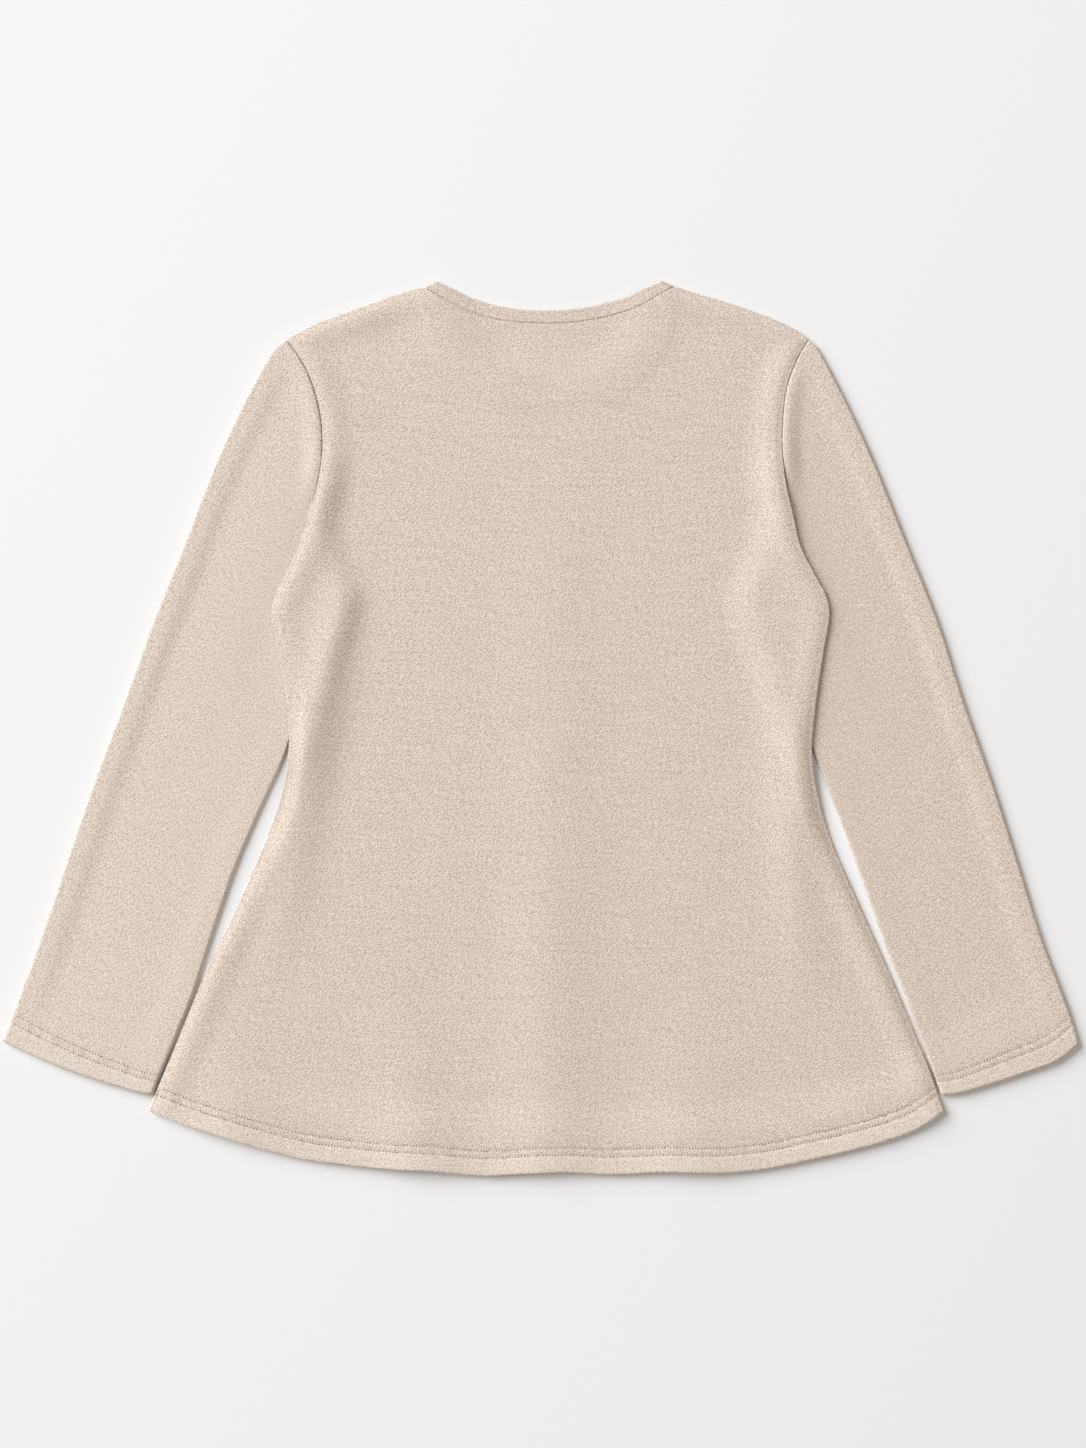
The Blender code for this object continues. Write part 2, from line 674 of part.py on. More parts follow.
def build_back(parent) -> None:
    """The back panel, lying on the fronts and over the sleeves' folded ends."""
    left, right = BODY_EDGE["left"], BODY_EDGE["right"]
    left_shoulder, right_shoulder = SHOULDER_EDGE["left"], SHOULDER_EDGE["right"]
    notches = (left_shoulder.line[0], right_shoulder.line[0])
    neck = neck_edge(BACK_SEAM, SEAM_GAP, notches)
    span = right.line[0, 0] - left.line[0, 0]
    left_share = (notches[0][0] - left.line[0, 0]) / span
    right_share = (notches[1][0] - left.line[0, 0]) / span
    shoulders = (Curve(left_shoulder.line[::-1], smooth=False), neck, right_shoulder)
    top = joined(shoulders, (0.0, left_share, right_share, 1.0))
    fractions = side_rows("left")
    width = np.linalg.norm(right.at(fractions) - left.at(fractions), axis=-1)
    neck_columns = np.linspace(left_share, right_share, NECK_LINES + 1)
    u = np.vstack(
        [
            edge_columns(width, left_share),
            np.repeat(neck_columns[:, None], len(width), axis=1),
            (1.0 - edge_columns(width, 1.0 - right_share))[::-1],
        ]
    )
    v = body_rows(top(u[:, 0]), HEM.at(u[:, -1]))
    plan = panel_patch(left, right, top, HEM.at, u, v)
    surface = back_surface(plan)
    underside = surface - CLOTH * (1.0 + doubled(plan, HEM_LINES[2]))
    panel("back", plan, surface, underside, parent)


def build_front(side: str, parent) -> None:
    """One front panel, flat on the surface but where the sleeve's folded end holds it up."""
    out = OUTWARD[side]
    edge = BODY_EDGE[side]
    seam = FRONT_SEAM[side]
    notch = SHOULDER_EDGE[side].line[0]
    centre_top = np.array([out * CENTRE_FRONT_GAP / 2, seam.line[-1, 1] + SEAM_GAP])
    centre_hem = np.array([out * CENTRE_FRONT_GAP / 2, CENTRE_FRONT_HEM])
    neck = neck_edge(seam, -out * SEAM_GAP, (notch, centre_top))
    shoulder_line = Curve(SHOULDER_EDGE[side].line[::-1], smooth=False)
    top = joined((shoulder_line, neck), (0.0, FRONT_SHOULDER_SHARE, 1.0))
    hem_steps = HEM.line[HEM.line[:, 0] * out > CENTRE_FRONT_GAP]
    hem_steps = hem_steps if side == "left" else hem_steps[::-1]
    hem = Curve(np.vstack([hem_steps, centre_hem]), smooth=False)
    centre = Curve([centre_top, centre_hem], smooth=False)
    fractions = side_rows(side)
    width = np.linalg.norm(centre.at(fractions) - edge.at(fractions), axis=-1)
    neck_columns = np.linspace(FRONT_SHOULDER_SHARE, 1.0, FRONT_NECK_LINES + 1)
    neck_columns = np.repeat(neck_columns[:, None], len(width), axis=1)
    u = np.vstack([edge_columns(width, FRONT_SHOULDER_SHARE), neck_columns])
    v = body_rows(top(u[:, 0]), hem.at(u[:, -1]))
    plan = panel_patch(edge, centre, top, hem.at, u, v)
    underside = sleeve_lift(plan)
    surface = underside + CLOTH * (1.0 + doubled(plan, HEM_LINES[3]))
    panel(f"front_{side}", plan, surface, underside, parent)


def armhole_points(side: str) -> np.ndarray:
    """The body's points along the armhole, down to the underarm fold."""
    points = BODY_EDGE[side].at(side_rows(side))
    return points[points[:, 1] < UNDERARM_FOLD]


def sleeve_end(side: str) -> Curve:
    """The sleeve's upper end: along the armhole, then in under the body."""
    beside = offset_line(armhole_points(side), -OUTWARD[side] * SEAM_GAP)
    return Curve(np.vstack([beside, columns(SLEEVE_END, side, "down")]), smooth=False)


def sleeve_crown(side: str, plan, from_outer, from_inner, along) -> np.ndarray:
    """The height of a flattened sleeve, before its edges are rounded."""
    crowns = columns(SLEEVE_CROWNS, "along", "outer", "middle", "inner").T
    outer, middle, inner = (np.interp(along, crowns[0], height) for height in crowns[1:])
    near_outer = 1.0 - smooth_step((from_outer - SLEEVE_ROLL_STARTS) / SLEEVE_ROLL_FALL)
    near_inner = 1.0 - smooth_step((from_inner - SLEEVE_ROLL_STARTS) / SLEEVE_ROLL_FALL)
    free = middle + (outer - middle) * near_outer + (inner - middle) * near_inner
    near = Nearest(plan, BODY_EDGE[side].line)
    outside = -OUTWARD[side] * near.turn * near.distance
    down = plan[..., 1]
    beside = smooth_step((down - PRESS_STARTS) / PRESS_RISE)
    beside = beside * (1.0 - smooth_step((down - LIFT_ENDS) / PRESS_END))
    pressed = beside * (1.0 - smooth_step((outside - PRESS_MARGIN) / PRESS_WIDTH))
    pressed_down = free * (1.0 - pressed) + SLEEVE_UNDER * pressed
    at_seam = smooth_step((down - SEAM_STARTS) / (SEAM_FULL - SEAM_STARTS))
    at_seam = at_seam * (1.0 - smooth_step((down - SEAM_ENDS) / (SEAM_GONE - SEAM_ENDS)))
    at_seam = at_seam * (outside > 0.0) * (1.0 - smooth_step((outside - SEAM_CREST) / SEAM_FALL))
    armhole = armhole_points(side)
    seam_height = np.interp(near.place[..., 1], armhole[:, 1], back_surface(armhole))
    seam_height = seam_height + SEAM_RISE * smooth_step(outside / SEAM_CREST)
    beside_seam = pressed_down * (1.0 - at_seam) + seam_height * at_seam
    return np.maximum(pressed_down, beside_seam)


def build_sleeve(side: str, parent) -> None:
    """A sleeve: a tube pressed flat, open at the armhole and the cuff, with a turned-up hem inside."""
    end = sleeve_end(side)
    across, down = f"{side}_across", f"{side}_down"
    cuff = Curve(columns(CUFFS, across, down))
    outer = Curve(np.vstack([end.line[:1], columns(SLEEVE_OUTER, side, "down"), cuff.line[:1]]))
    inner = Curve(np.vstack([columns(SLEEVE_INNER, side, "down"), cuff.line[-1:]]))
    lengths = np.linalg.norm(cuff.at(LENGTH_SHARES) - end.at(LENGTH_SHARES), axis=-1)
    levels = rows_down(lengths.mean(keepdims=True), SLEEVE_ROWS, SLEEVE_TOP_LINES, SLEEVE_ROW_GROWTH)[0]
    width = np.linalg.norm(inner.at(levels) - outer.at(levels), axis=-1)
    outer_height = sleeve_crown(side, outer.at(levels), 0.0, width, levels)
    inner_height = sleeve_crown(side, inner.at(levels), width, 0.0, levels)
    body = Body(f"sleeve_{side}")

    def tube(walls: np.ndarray) -> np.ndarray:
        """The corners of the tube's surface this far inside its outer skin, ring by ring."""
        turns = np.radians(EDGE_TURNS)[:, None]
        outer_steps = outer_height / 2 - (outer_height / 2 - walls) * np.cos(turns)
        inner_steps = inner_height / 2 - (inner_height / 2 - walls) * np.cos(turns)
        fixed = np.repeat(np.array(SLEEVE_EDGE_LINES)[:, None], len(levels), axis=1)
        near = np.vstack([outer_steps, fixed])
        far = width - np.vstack([inner_steps, fixed])[::-1]
        distance = np.vstack([near, between(near[-1], far[0], SLEEVE_MIDDLE_LINES), far])
        u = distance / width
        column_lengths = np.interp(u.mean(axis=1), LENGTH_SHARES, lengths)
        v = rows_down(column_lengths, SLEEVE_ROWS, SLEEVE_TOP_LINES, SLEEVE_ROW_GROWTH)
        plan = sleeve_patch(outer, inner, end.at, cuff.at, u, v)
        crown = sleeve_crown(side, plan, distance, width - distance, v)
        from_edge = np.minimum(distance / (outer_height / 2), (width - distance) / (inner_height / 2))
        roundness = np.clip((1.0 - from_edge) / (1.0 - walls / (crown / 2)), 0.0, 1.0)
        half = (crown / 2 - walls) * np.sqrt(1.0 - roundness**2)
        upper = body.add(plan, crown / 2 + half)
        lower = body.add(plan[1:-1], (crown / 2 - half)[1:-1])
        return np.vstack([upper, lower[::-1], upper[:1]])

    in_hem = levels > 1.0 - (HEM_LINES[4] + 1.0) / lengths.mean()
    skin = tube(np.zeros(len(levels)))
    lining = tube(np.where(in_hem, 2 * CLOTH, CLOTH))
    body.skin(skin)
    body.skin(lining)
    body.skin(np.stack([skin[:, 0], lining[:, 0]]))
    body.skin(np.stack([skin[:, -1], lining[:, -1]]))
    body.close(parent)


def build_neckband(parent) -> None:
    """The neckband: a strip round the back neck, folded under at the shoulders and down both fronts."""
    stations = []
    fold_radius = BAND / 2 + SEAM_GAP / 2
    folded = BAND / 2

    def station(seam, free, height, turn: float) -> None:
        """A line across the band: its ends in plan, their heights and the way its outer side faces."""
        stations.append((np.array(seam), np.array(free), np.broadcast_to(height, 2), turn))

    def front(side: str, shares) -> None:
        for share in shares:
            station(FRONT_SEAM[side].at(share), FRONT_FREE[side].at(share), folded, math.pi)

    def fold(side: str, turns) -> None:
        """The half turn under at a shoulder."""
        seam, free = FRONT_SEAM[side].at(0.0), FRONT_FREE[side].at(0.0)
        along = (free - seam) / np.linalg.norm(free - seam)
        away = np.array([along[1], -along[0]]) * -OUTWARD[side]
        for turn in turns:
            reach = away * fold_radius * math.sin(turn)
            height = folded + fold_radius * (1.0 + math.cos(turn))
            station(seam + reach, free + reach, height, turn)
            stations[-1] += (away,)

    shares = np.linspace(0.0, 1.0, FRONT_NECK_LINES + 1)
    turns = np.radians(FOLD_TURNS)
    front("left", shares[::-1])
    fold("left", turns[::-1])
    for share in np.linspace(0.0, 1.0, NECK_LINES + 1):
        seam, free = BACK_SEAM.at(share), BACK_FREE.at(share)
        beneath = neck_support(np.stack([seam, free]))
        station(seam, free, beneath + SEAM_GAP + BAND / 2, 0.0)
    fold("right", turns)
    front("right", shares)

    body = Body("neckband")
    rings = []
    for seam, free, height, turn, *away in stations:
        out = away[0] if away else np.zeros(2)
        inward = EDGE_ROUND * (free - seam) / np.linalg.norm(free - seam)
        corners, heights = [], []
        for place, level, shift, side in (
            (seam, height[0], inward, 1.0),
            (free, height[1], -inward, 1.0),
            (free, height[1], 0 * inward, 0.0),
            (free, height[1], -inward, -1.0),
            (seam, height[0], inward, -1.0),
            (seam, height[0], 0 * inward, 0.0),
        ):
            corners.append(place + shift + side * BAND / 2 * math.sin(turn) * out)
            heights.append(level + side * BAND / 2 * math.cos(turn))
        rings.append(body.add(np.array(corners), np.array(heights)))
    body.skin(np.array([np.append(numbers, numbers[0]) for numbers in rings]))
    body.face(rings[0])
    body.face(rings[-1])
    body.close(parent)


def main() -> None:
    """Clears the scene and builds the cardigan round the middle of its outline."""
    for thing in list(bpy.data.objects):
        bpy.data.objects.remove(thing)
    garment = bpy.data.objects.new("cardigan", None)
    garment.location = (-CENTRE_ACROSS * MM, CENTRE_DOWN * MM, 0.0)
    bpy.context.collection.objects.link(garment)
    build_back(garment)
    for side in SIDES:
        build_front(side, garment)
        build_sleeve(side, garment)
    build_neckband(garment)


main()
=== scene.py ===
"""A woman's cardigan in a fine brushed knit, laid out flat on a pale surface with its back up.

A place on the garment is given in millimetres across, to the right of the centre back, and down, from the
tips of the neckband towards the hem. Heights are above the surface it lies on. Meshes are in metres.
"""

import logging
import math
from dataclasses import dataclass
from enum import Enum
from typing import Any, Callable, NamedTuple, Sequence

import bpy
import numpy as np
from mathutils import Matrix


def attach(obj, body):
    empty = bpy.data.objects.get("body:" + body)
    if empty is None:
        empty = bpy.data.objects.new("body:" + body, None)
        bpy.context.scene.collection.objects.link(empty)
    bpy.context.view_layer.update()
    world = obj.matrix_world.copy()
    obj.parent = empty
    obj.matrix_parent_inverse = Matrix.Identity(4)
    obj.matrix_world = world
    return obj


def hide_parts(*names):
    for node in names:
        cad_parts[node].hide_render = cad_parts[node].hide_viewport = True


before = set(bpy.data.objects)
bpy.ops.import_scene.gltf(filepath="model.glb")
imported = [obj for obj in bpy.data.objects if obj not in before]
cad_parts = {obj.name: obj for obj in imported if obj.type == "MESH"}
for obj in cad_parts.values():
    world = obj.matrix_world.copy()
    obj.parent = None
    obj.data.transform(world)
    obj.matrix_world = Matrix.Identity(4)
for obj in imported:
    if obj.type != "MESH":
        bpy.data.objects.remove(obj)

LOG = logging.getLogger("cardigan")
MM = 0.001
Edge = Callable[[Any], np.ndarray]
Colour = tuple[float, float, float, float]


class Side(str, Enum):
    """A side of the garment, as seen from above."""

    LEFT = "left"
    RIGHT = "right"

    @property
    def out(self) -> float:
        """The sign of a step away from the centre back."""
        return -1.0 if self is Side.LEFT else 1.0


class Level(NamedTuple):
    """A level of the body or a sleeve: where its left and right edges are."""

    down: float
    left: float
    right: float


class Slope(NamedTuple):
    """A step along the shoulders: how far down each one is."""

    out: float
    left: float
    right: float


class Spot(NamedTuple):
    """One point of an outline."""

    across: float
    down: float


class Pair(NamedTuple):
    """A line across the neckband, from its seam to its free edge."""

    seam_across: float
    seam_down: float
    free_across: float
    free_down: float


class Cuff(NamedTuple):
    """A step along the cuffs' hems, from the outer edge to the underarm fold."""

    left_across: float
    left_down: float
    right_across: float
    right_down: float


class Roll(NamedTuple):
    """How high the back stands beside its edges and at their seams."""

    down: float
    left_roll: float
    left_seam: float
    right_roll: float
    right_seam: float


class Crown(NamedTuple):
    """Height of a sleeve at its outer edge, middle and underarm fold, along its length."""

    along: float
    outer: float
    middle: float
    inner: float


class Fold(NamedTuple):
    """A soft ridge or hollow: its line, its half width and its height, start to end."""

    start: Spot
    middle: Spot
    end: Spot
    start_width: float
    end_width: float
    start_height: float
    middle_height: float
    end_height: float


@dataclass(frozen=True)
class Cloth:
    """Thickness of the knit and of the neckband, and the gap at seams."""

    wall: float = 1.2
    band: float = 1.7
    gap: float = 0.3


@dataclass(frozen=True)
class Laying:
    """How the body lies over the sleeves' folded ends and stands up beside its edges."""

    centre_across: float = -6.6
    centre_down: float = 348.7
    body_lift: float = 3.8
    lift_starts: float = 115.0
    lift_full: float = 170.0
    lift_ends: float = 368.0
    lift_gone: float = 438.0
    left_margin: float = 4.0
    left_slope: float = 24.0
    right_margin: float = 6.0
    right_slope: float = 28.0
    roll_rise: float = 7.0
    roll_starts: float = 9.0
    roll_fall: float = 17.0
    puff: float = 0.4
    hem_slope: float = 34.0
    neck_sag: float = 34.0
    neck_sag_starts: float = 11.0
    band_margin: float = 2.0
    band_blend: float = 6.0

    def lift_edge(self, side: Side) -> tuple[float, float]:
        """How the body comes down beside a sleeve's folded end.

        Args:
            side: Which side.

        Returns:
            How far past the sleeve it starts to come down, and over what distance.
        """
        if side is Side.LEFT:
            return self.left_margin, self.left_slope
        return self.right_margin, self.right_slope


@dataclass(frozen=True)
class Hem:
    """The turned-up hem and its two rows of stitches, measured up from the edge."""

    depth: float = 20.0
    ramp: float = 3.0
    curl: float = 0.8
    rows: tuple[float, ...] = (13.7, 19.4)
    groove: float = 0.4
    groove_width: float = 0.75
    pucker: float = 0.16
    pucker_reach: float = 5.0
    pucker_waves: tuple[float, ...] = (7.3, 11.9, 19.0)


CLOTH = Cloth()
LAYING = Laying()
HEM = Hem()

BODY_SIDES = (
    Level(down=46, left=-204.6, right=202.2),
    Level(down=60, left=-194.2, right=193.8),
    Level(down=80, left=-184.5, right=185.9),
    Level(down=105, left=-178.0, right=182.2),
    Level(down=133, left=-176.7, right=181.6),
    Level(down=160, left=-180.4, right=184.8),
    Level(down=180, left=-186.3, right=189.4),
    Level(down=206, left=-193.8, right=195.4),
    Level(down=229, left=-204.6, right=206.7),
    Level(down=247, left=-213.6, right=216.2),
    Level(down=261, left=-215.9, right=218.1),
    Level(down=287, left=-211.4, right=214.0),
    Level(down=317, left=-205.3, right=209.3),
    Level(down=341, left=-203.1, right=206.3),
    Level(down=364, left=-202.6, right=204.5),
    Level(down=394, left=-206.7, right=207.7),
    Level(down=436, left=-220.7, right=219.6),
    Level(down=483, left=-241.0, right=239.9),
    Level(down=545, left=-269.9, right=267.4),
    Level(down=600, left=-292.6, right=290.2),
    Level(down=628.5, left=-304.4, right=301.0),
    Level(down=647, left=-312.0, right=307.3),
)
SHOULDERS = (
    Slope(out=98.0, left=5.2, right=4.6),
    Slope(out=117, left=10.4, right=10.6),
    Slope(out=148, left=21.3, right=20.0),
    Slope(out=180, left=33.0, right=32.3),
    Slope(out=195, left=40.3, right=40.6),
)
HEM_EDGE = (
    Spot(across=-302, down=650.5),
    Spot(across=-280, down=659.1),
    Spot(across=-258, down=665.8),
    Spot(across=-225, down=675.9),
    Spot(across=-193, down=684.1),
    Spot(across=-160, down=688.7),
    Spot(across=-127, down=691.9),
    Spot(across=-94, down=693.4),
    Spot(across=-51, down=697.3),
    Spot(across=-15, down=695.2),
    Spot(across=15, down=694.4),
    Spot(across=48, down=696.3),
    Spot(across=91, down=694.4),
    Spot(across=135, down=695.0),
    Spot(across=168, down=692.1),
    Spot(across=200, down=685.6),
    Spot(across=233, down=678.2),
    Spot(across=266, down=669.0),
    Spot(across=288, down=660.2),
)
BACK_BAND = (
    Pair(seam_across=-95.7, seam_down=6.0, free_across=-86.6, free_down=1.6),
    Pair(seam_across=-83.5, seam_down=12.8, free_across=-77.2, free_down=5.7),
    Pair(seam_across=-67.5, seam_down=21.5, free_across=-61.6, free_down=12.9),
    Pair(seam_across=-50.7, seam_down=27.7, free_across=-46.0, free_down=17.9),
    Pair(seam_across=-25.0, seam_down=31.9, free_across=-22.6, free_down=22.2),
    Pair(seam_across=0.8, seam_down=33.0, free_across=0.0, free_down=22.9),
    Pair(seam_across=26.5, seam_down=31.2, free_across=24.2, free_down=21.1),
    Pair(seam_across=48.4, seam_down=26.9, free_across=43.7, free_down=17.2),
    Pair(seam_across=67.9, seam_down=20.7, free_across=61.6, free_down=11.7),
    Pair(seam_across=82.7, seam_down=12.7, free_across=74.9, free_down=5.6),
    Pair(seam_across=95.6, seam_down=5.5, free_across=86.2, free_down=1.4),
)
FRONT_BAND = (
    Pair(seam_across=93.5, seam_down=28, free_across=84.0, free_down=27),
    Pair(seam_across=85, seam_down=54, free_across=76.2, free_down=49),
    Pair(seam_across=67, seam_down=76, free_across=60.5, free_down=68.2),
    Pair(seam_across=41, seam_down=90, free_across=37.5, free_down=80.5),
    Pair(seam_across=0.3, seam_down=95, free_across=0.3, free_down=85),
)
SLEEVE_OUTER = (
    Level(down=52, left=-213.0, right=208.9),
    Level(down=62, left=-220.0, right=214.8),
    Level(down=93, left=-237.1, right=230.9),
    Level(down=124, left=-251.9, right=245.7),
    Level(down=155, left=-265.2, right=259.0),
    Level(down=202, left=-283.2, right=277.7),
    Level(down=264, left=-308.0, right=302.6),
    Level(down=327, left=-330.8, right=322.9),
    Level(down=389, left=-354.1, right=344.8),
    Level(down=452, left=-375.9, right=365.0),
    Level(down=514, left=-397.0, right=384.5),
    Level(down=571, left=-418.0, right=405.9),
)
SLEEVE_END = (
    Level(down=218, left=-180.2, right=181.0),
    Level(down=249, left=-168.5, right=168.5),
)
SLEEVE_INNER = (
    Level(down=249, left=-168.5, right=168.5),
    Level(down=288, left=-180.2, right=180.2),
    Level(down=327, left=-191.9, right=192.7),
    Level(down=362, left=-203.6, right=204.4),
    Level(down=382, left=-211.4, right=212.2),
    Level(down=407, left=-223.0, right=221.8),
    Level(down=433, left=-234.6, right=231.7),
    Level(down=463, left=-246.7, right=242.5),
    Level(down=494, left=-257.4, right=253.6),
    Level(down=526, left=-268.0, right=265.0),
    Level(down=556, left=-277.6, right=277.4),
    Level(down=587, left=-290.0, right=288.2),
    Level(down=616, left=-301.6, right=298.9),
)
UNDER_BODY = 8
CUFFS = (
    Cuff(left_across=-426.3, left_down=592, right_across=413.0, right_down=594),
    Cuff(left_across=-398.3, left_down=605.3, right_across=396.0, right_down=607.6),
    Cuff(left_across=-368.6, left_down=617.3, right_across=367.4, right_down=618.4),
    Cuff(left_across=-338.7, left_down=627, right_across=340, right_down=627.4),
    Cuff(left_across=-318, left_down=632.8, right_across=318, right_down=633.4),
    Cuff(left_across=-308.8, left_down=633.6, right_across=305.4, right_down=634.2),
)
EDGE_ROLLS = (
    Roll(down=5, left_roll=0.6, left_seam=0.0, right_roll=0.6, right_seam=0.0),
    Roll(down=20, left_roll=1.4, left_seam=0.0, right_roll=1.4, right_seam=0.0),
    Roll(down=46, left_roll=1.0, left_seam=0.4, right_roll=1.0, right_seam=0.8),
    Roll(down=80, left_roll=0.7, left_seam=1.3, right_roll=0.9, right_seam=2.2),
    Roll(down=140, left_roll=0.7, left_seam=1.3, right_roll=0.9, right_seam=2.2),
    Roll(down=180, left_roll=1.2, left_seam=0.6, right_roll=1.2, right_seam=0.8),
    Roll(down=240, left_roll=1.2, left_seam=0.0, right_roll=0.9, right_seam=0.2),
    Roll(down=300, left_roll=0.3, left_seam=0.0, right_roll=0.8, right_seam=0.2),
    Roll(down=365, left_roll=0.4, left_seam=0.0, right_roll=1.4, right_seam=0.0),
    Roll(down=430, left_roll=1.0, left_seam=0.0, right_roll=1.8, right_seam=0.0),
    Roll(down=520, left_roll=1.6, left_seam=0.0, right_roll=1.8, right_seam=0.0),
    Roll(down=600, left_roll=1.4, left_seam=0.0, right_roll=1.6, right_seam=0.0),
    Roll(down=647, left_roll=0.6, left_seam=0.0, right_roll=0.8, right_seam=0.0),
)
SLEEVE_CROWNS = (
    Crown(along=0.0, outer=3.4, middle=3.6, inner=3.2),
    Crown(along=0.06, outer=4.4, middle=3.3, inner=3.2),
    Crown(along=0.3, outer=4.6, middle=3.1, inner=3.2),
    Crown(along=0.5, outer=4.6, middle=3.1, inner=3.6),
    Crown(along=0.88, outer=4.6, middle=3.4, inner=4.0),
    Crown(along=0.95, outer=5.4, middle=5.2, inner=5.4),
    Crown(along=1.0, outer=5.4, middle=5.2, inner=5.4),
)
BODY_FOLDS = (
    Fold(Spot(-158, 250), Spot(-182, 360), Spot(-222, 560), 10, 13, 2.0, 5.2, 0),
    Fold(Spot(174, 290), Spot(190, 415), Spot(200, 570), 11, 14, 0, 4.0, 0),
    Fold(Spot(0, 90), Spot(2, 380), Spot(-2, 697), 26, 22, 0, 1.6, 3.2),
    Fold(Spot(-118, 560), Spot(-110, 630), Spot(-102, 696), 20, 20, 0, 1.8, 4.0),
    Fold(Spot(-240, 540), Spot(-246, 610), Spot(-252, 668), 20, 22, 0, 1.2, 2.8),
    Fold(Spot(112, 560), Spot(112, 630), Spot(110, 695), 22, 24, 0, 1.2, 3.0),
)
BODY_CREASES = (
    Fold(Spot(-150, 44), Spot(-120, 42), Spot(-88, 46), 11, 10, 0, -0.9, 0),
    Fold(Spot(94, 42), Spot(122, 34), Spot(152, 44), 10, 11, 0, -0.9, 0),
)


def columns(table: Sequence[Any], *names: str) -> np.ndarray:
    """The named columns of a table, side by side.

    Args:
        table: The rows.
        names: The columns' names.

    Returns:
        One row of numbers for each row of the table.
    """
    return np.array([[getattr(row, name) for name in names] for row in table], float)


def smooth_step(value: Any) -> np.ndarray:
    """A soft S from 0 to 1: three times the square less twice the cube.

    Args:
        value: Where to read it, from 0 to 1.

    Returns:
        0 below 0, 1 above 1, and the S between.
    """
    inside = np.clip(value, 0.0, 1.0)
    return inside * inside * (3.0 - 2.0 * inside)


def bell(distance: Any, width: Any) -> np.ndarray:
    """A soft bump, the bell curve.

    Args:
        distance: How far from its middle.
        width: Its half width.

    Returns:
        1 at the middle, falling away to 0.
    """
    return np.exp(-0.5 * (distance / width) ** 2)


def blend(first: Any, last: Any, share: Any) -> np.ndarray:
    """A value between two others, in proportion.

    Args:
        first: The value at a share of 0.
        last: The value at a share of 1.
        share: The share.

    Returns:
        The value between.
    """
    return first + (last - first) * share


class Curve:
    """A line through points, read by the fraction of its length."""

    STEPS = 8

    def __init__(self, points: Any, smooth: bool = True) -> None:
        """Draws the line.

        Args:
            points: The points it goes through.
            smooth: Whether it bends smoothly at them.
        """
        knots = np.asarray(points, float)
        self.line = self.rounded(knots) if smooth else knots
        steps = np.linalg.norm(np.diff(self.line, axis=0), axis=1)
        so_far = np.concatenate([[0.0], np.cumsum(steps)])
        self.length = so_far[-1]
        self.fractions = so_far / self.length

    @classmethod
    def rounded(cls, knots: np.ndarray) -> np.ndarray:
        """Cubic pieces between the knots, with slopes taken from each knot's neighbours.

        Args:
            knots: The points.

        Returns:
            The points of the smooth line.
        """
        spans = np.sqrt(np.linalg.norm(np.diff(knots, axis=0), axis=1))[:, None]
        rates = np.diff(knots, axis=0) / spans
        slopes = np.empty_like(knots)
        slopes[1:-1] = (rates[:-1] * spans[1:] + rates[1:] * spans[:-1]) / (spans[:-1] + spans[1:])
        slopes[0] = rates[0]
        slopes[-1] = rates[-1]
        t = np.linspace(0.0, 1.0, cls.STEPS + 1)[None, 1:, None]
        start = 2 * t**3 - 3 * t**2 + 1
        pieces = (
            start * knots[:-1, None]
            + (1 - start) * knots[1:, None]
            + (t**3 - 2 * t**2 + t) * (spans * slopes[:-1])[:, None]
            + (t**3 - t**2) * (spans * slopes[1:])[:, None]
        )
        return np.vstack([knots[:1], pieces.reshape(-1, knots.shape[1])])

    def at(self, fraction: Any) -> np.ndarray:
        """Reads the line.

        Args:
            fraction: Fractions of its length.

        Returns:
            The points there.
        """
        return np.stack([np.interp(fraction, self.fractions, axis) for axis in self.line.T], axis=-1)


class Nearest:
    """The place on a line that is nearest to each of some points."""

    BLOCK = 4096

    def __init__(self, points: np.ndarray, line: np.ndarray) -> None:
        """Finds the places.

        Args:
            points: A grid of points.
            line: The points of the line.
        """
        start = line[:-1]
        step = np.diff(line, axis=0)
        flat = points.reshape(-1, 2)
        blocks = np.array_split(flat, len(flat) // self.BLOCK + 1)
        found = [self.search(block, start, step) for block in blocks]
        best, share = (np.concatenate(part).reshape(points.shape[:-1]) for part in zip(*found))
        place = start[best] + share[..., None] * step[best]
        away = points - place
        self.distance = np.linalg.norm(away, axis=-1)
        self.down = place[..., 1]
        self.fraction = (best + share) / len(step)
        self.turn = np.sign(step[best][..., 0] * away[..., 1] - step[best][..., 1] * away[..., 0])

    @staticmethod
    def search(points: np.ndarray, start: np.ndarray, step: np.ndarray) -> tuple[np.ndarray, np.ndarray]:
        """Looks through every piece of the line.

        Args:
            points: A list of points.
            start: Where each piece starts.
            step: Where it goes from there.

        Returns:
            The number of the nearest piece, and the share along it.
        """
        offset = points[:, None, :] - start
        share = np.clip((offset * step).sum(-1) / (step * step).sum(-1), 0.0, 1.0)
        apart = offset - share[..., None] * step
        best = (apart * apart).sum(-1).argmin(-1)
        return best, np.take_along_axis(share, best[:, None], -1)[:, 0]


def offset_line(points: np.ndarray, amount: float) -> np.ndarray:
    """A line moved sideways.

    Args:
        points: The line.
        amount: How far, to the right of its direction as seen from above.

    Returns:
        The moved line.
    """
    along = np.gradient(points, axis=0)
    along /= np.linalg.norm(along, axis=1)[:, None]
    return points + amount * np.stack([-along[:, 1], along[:, 0]], axis=1)


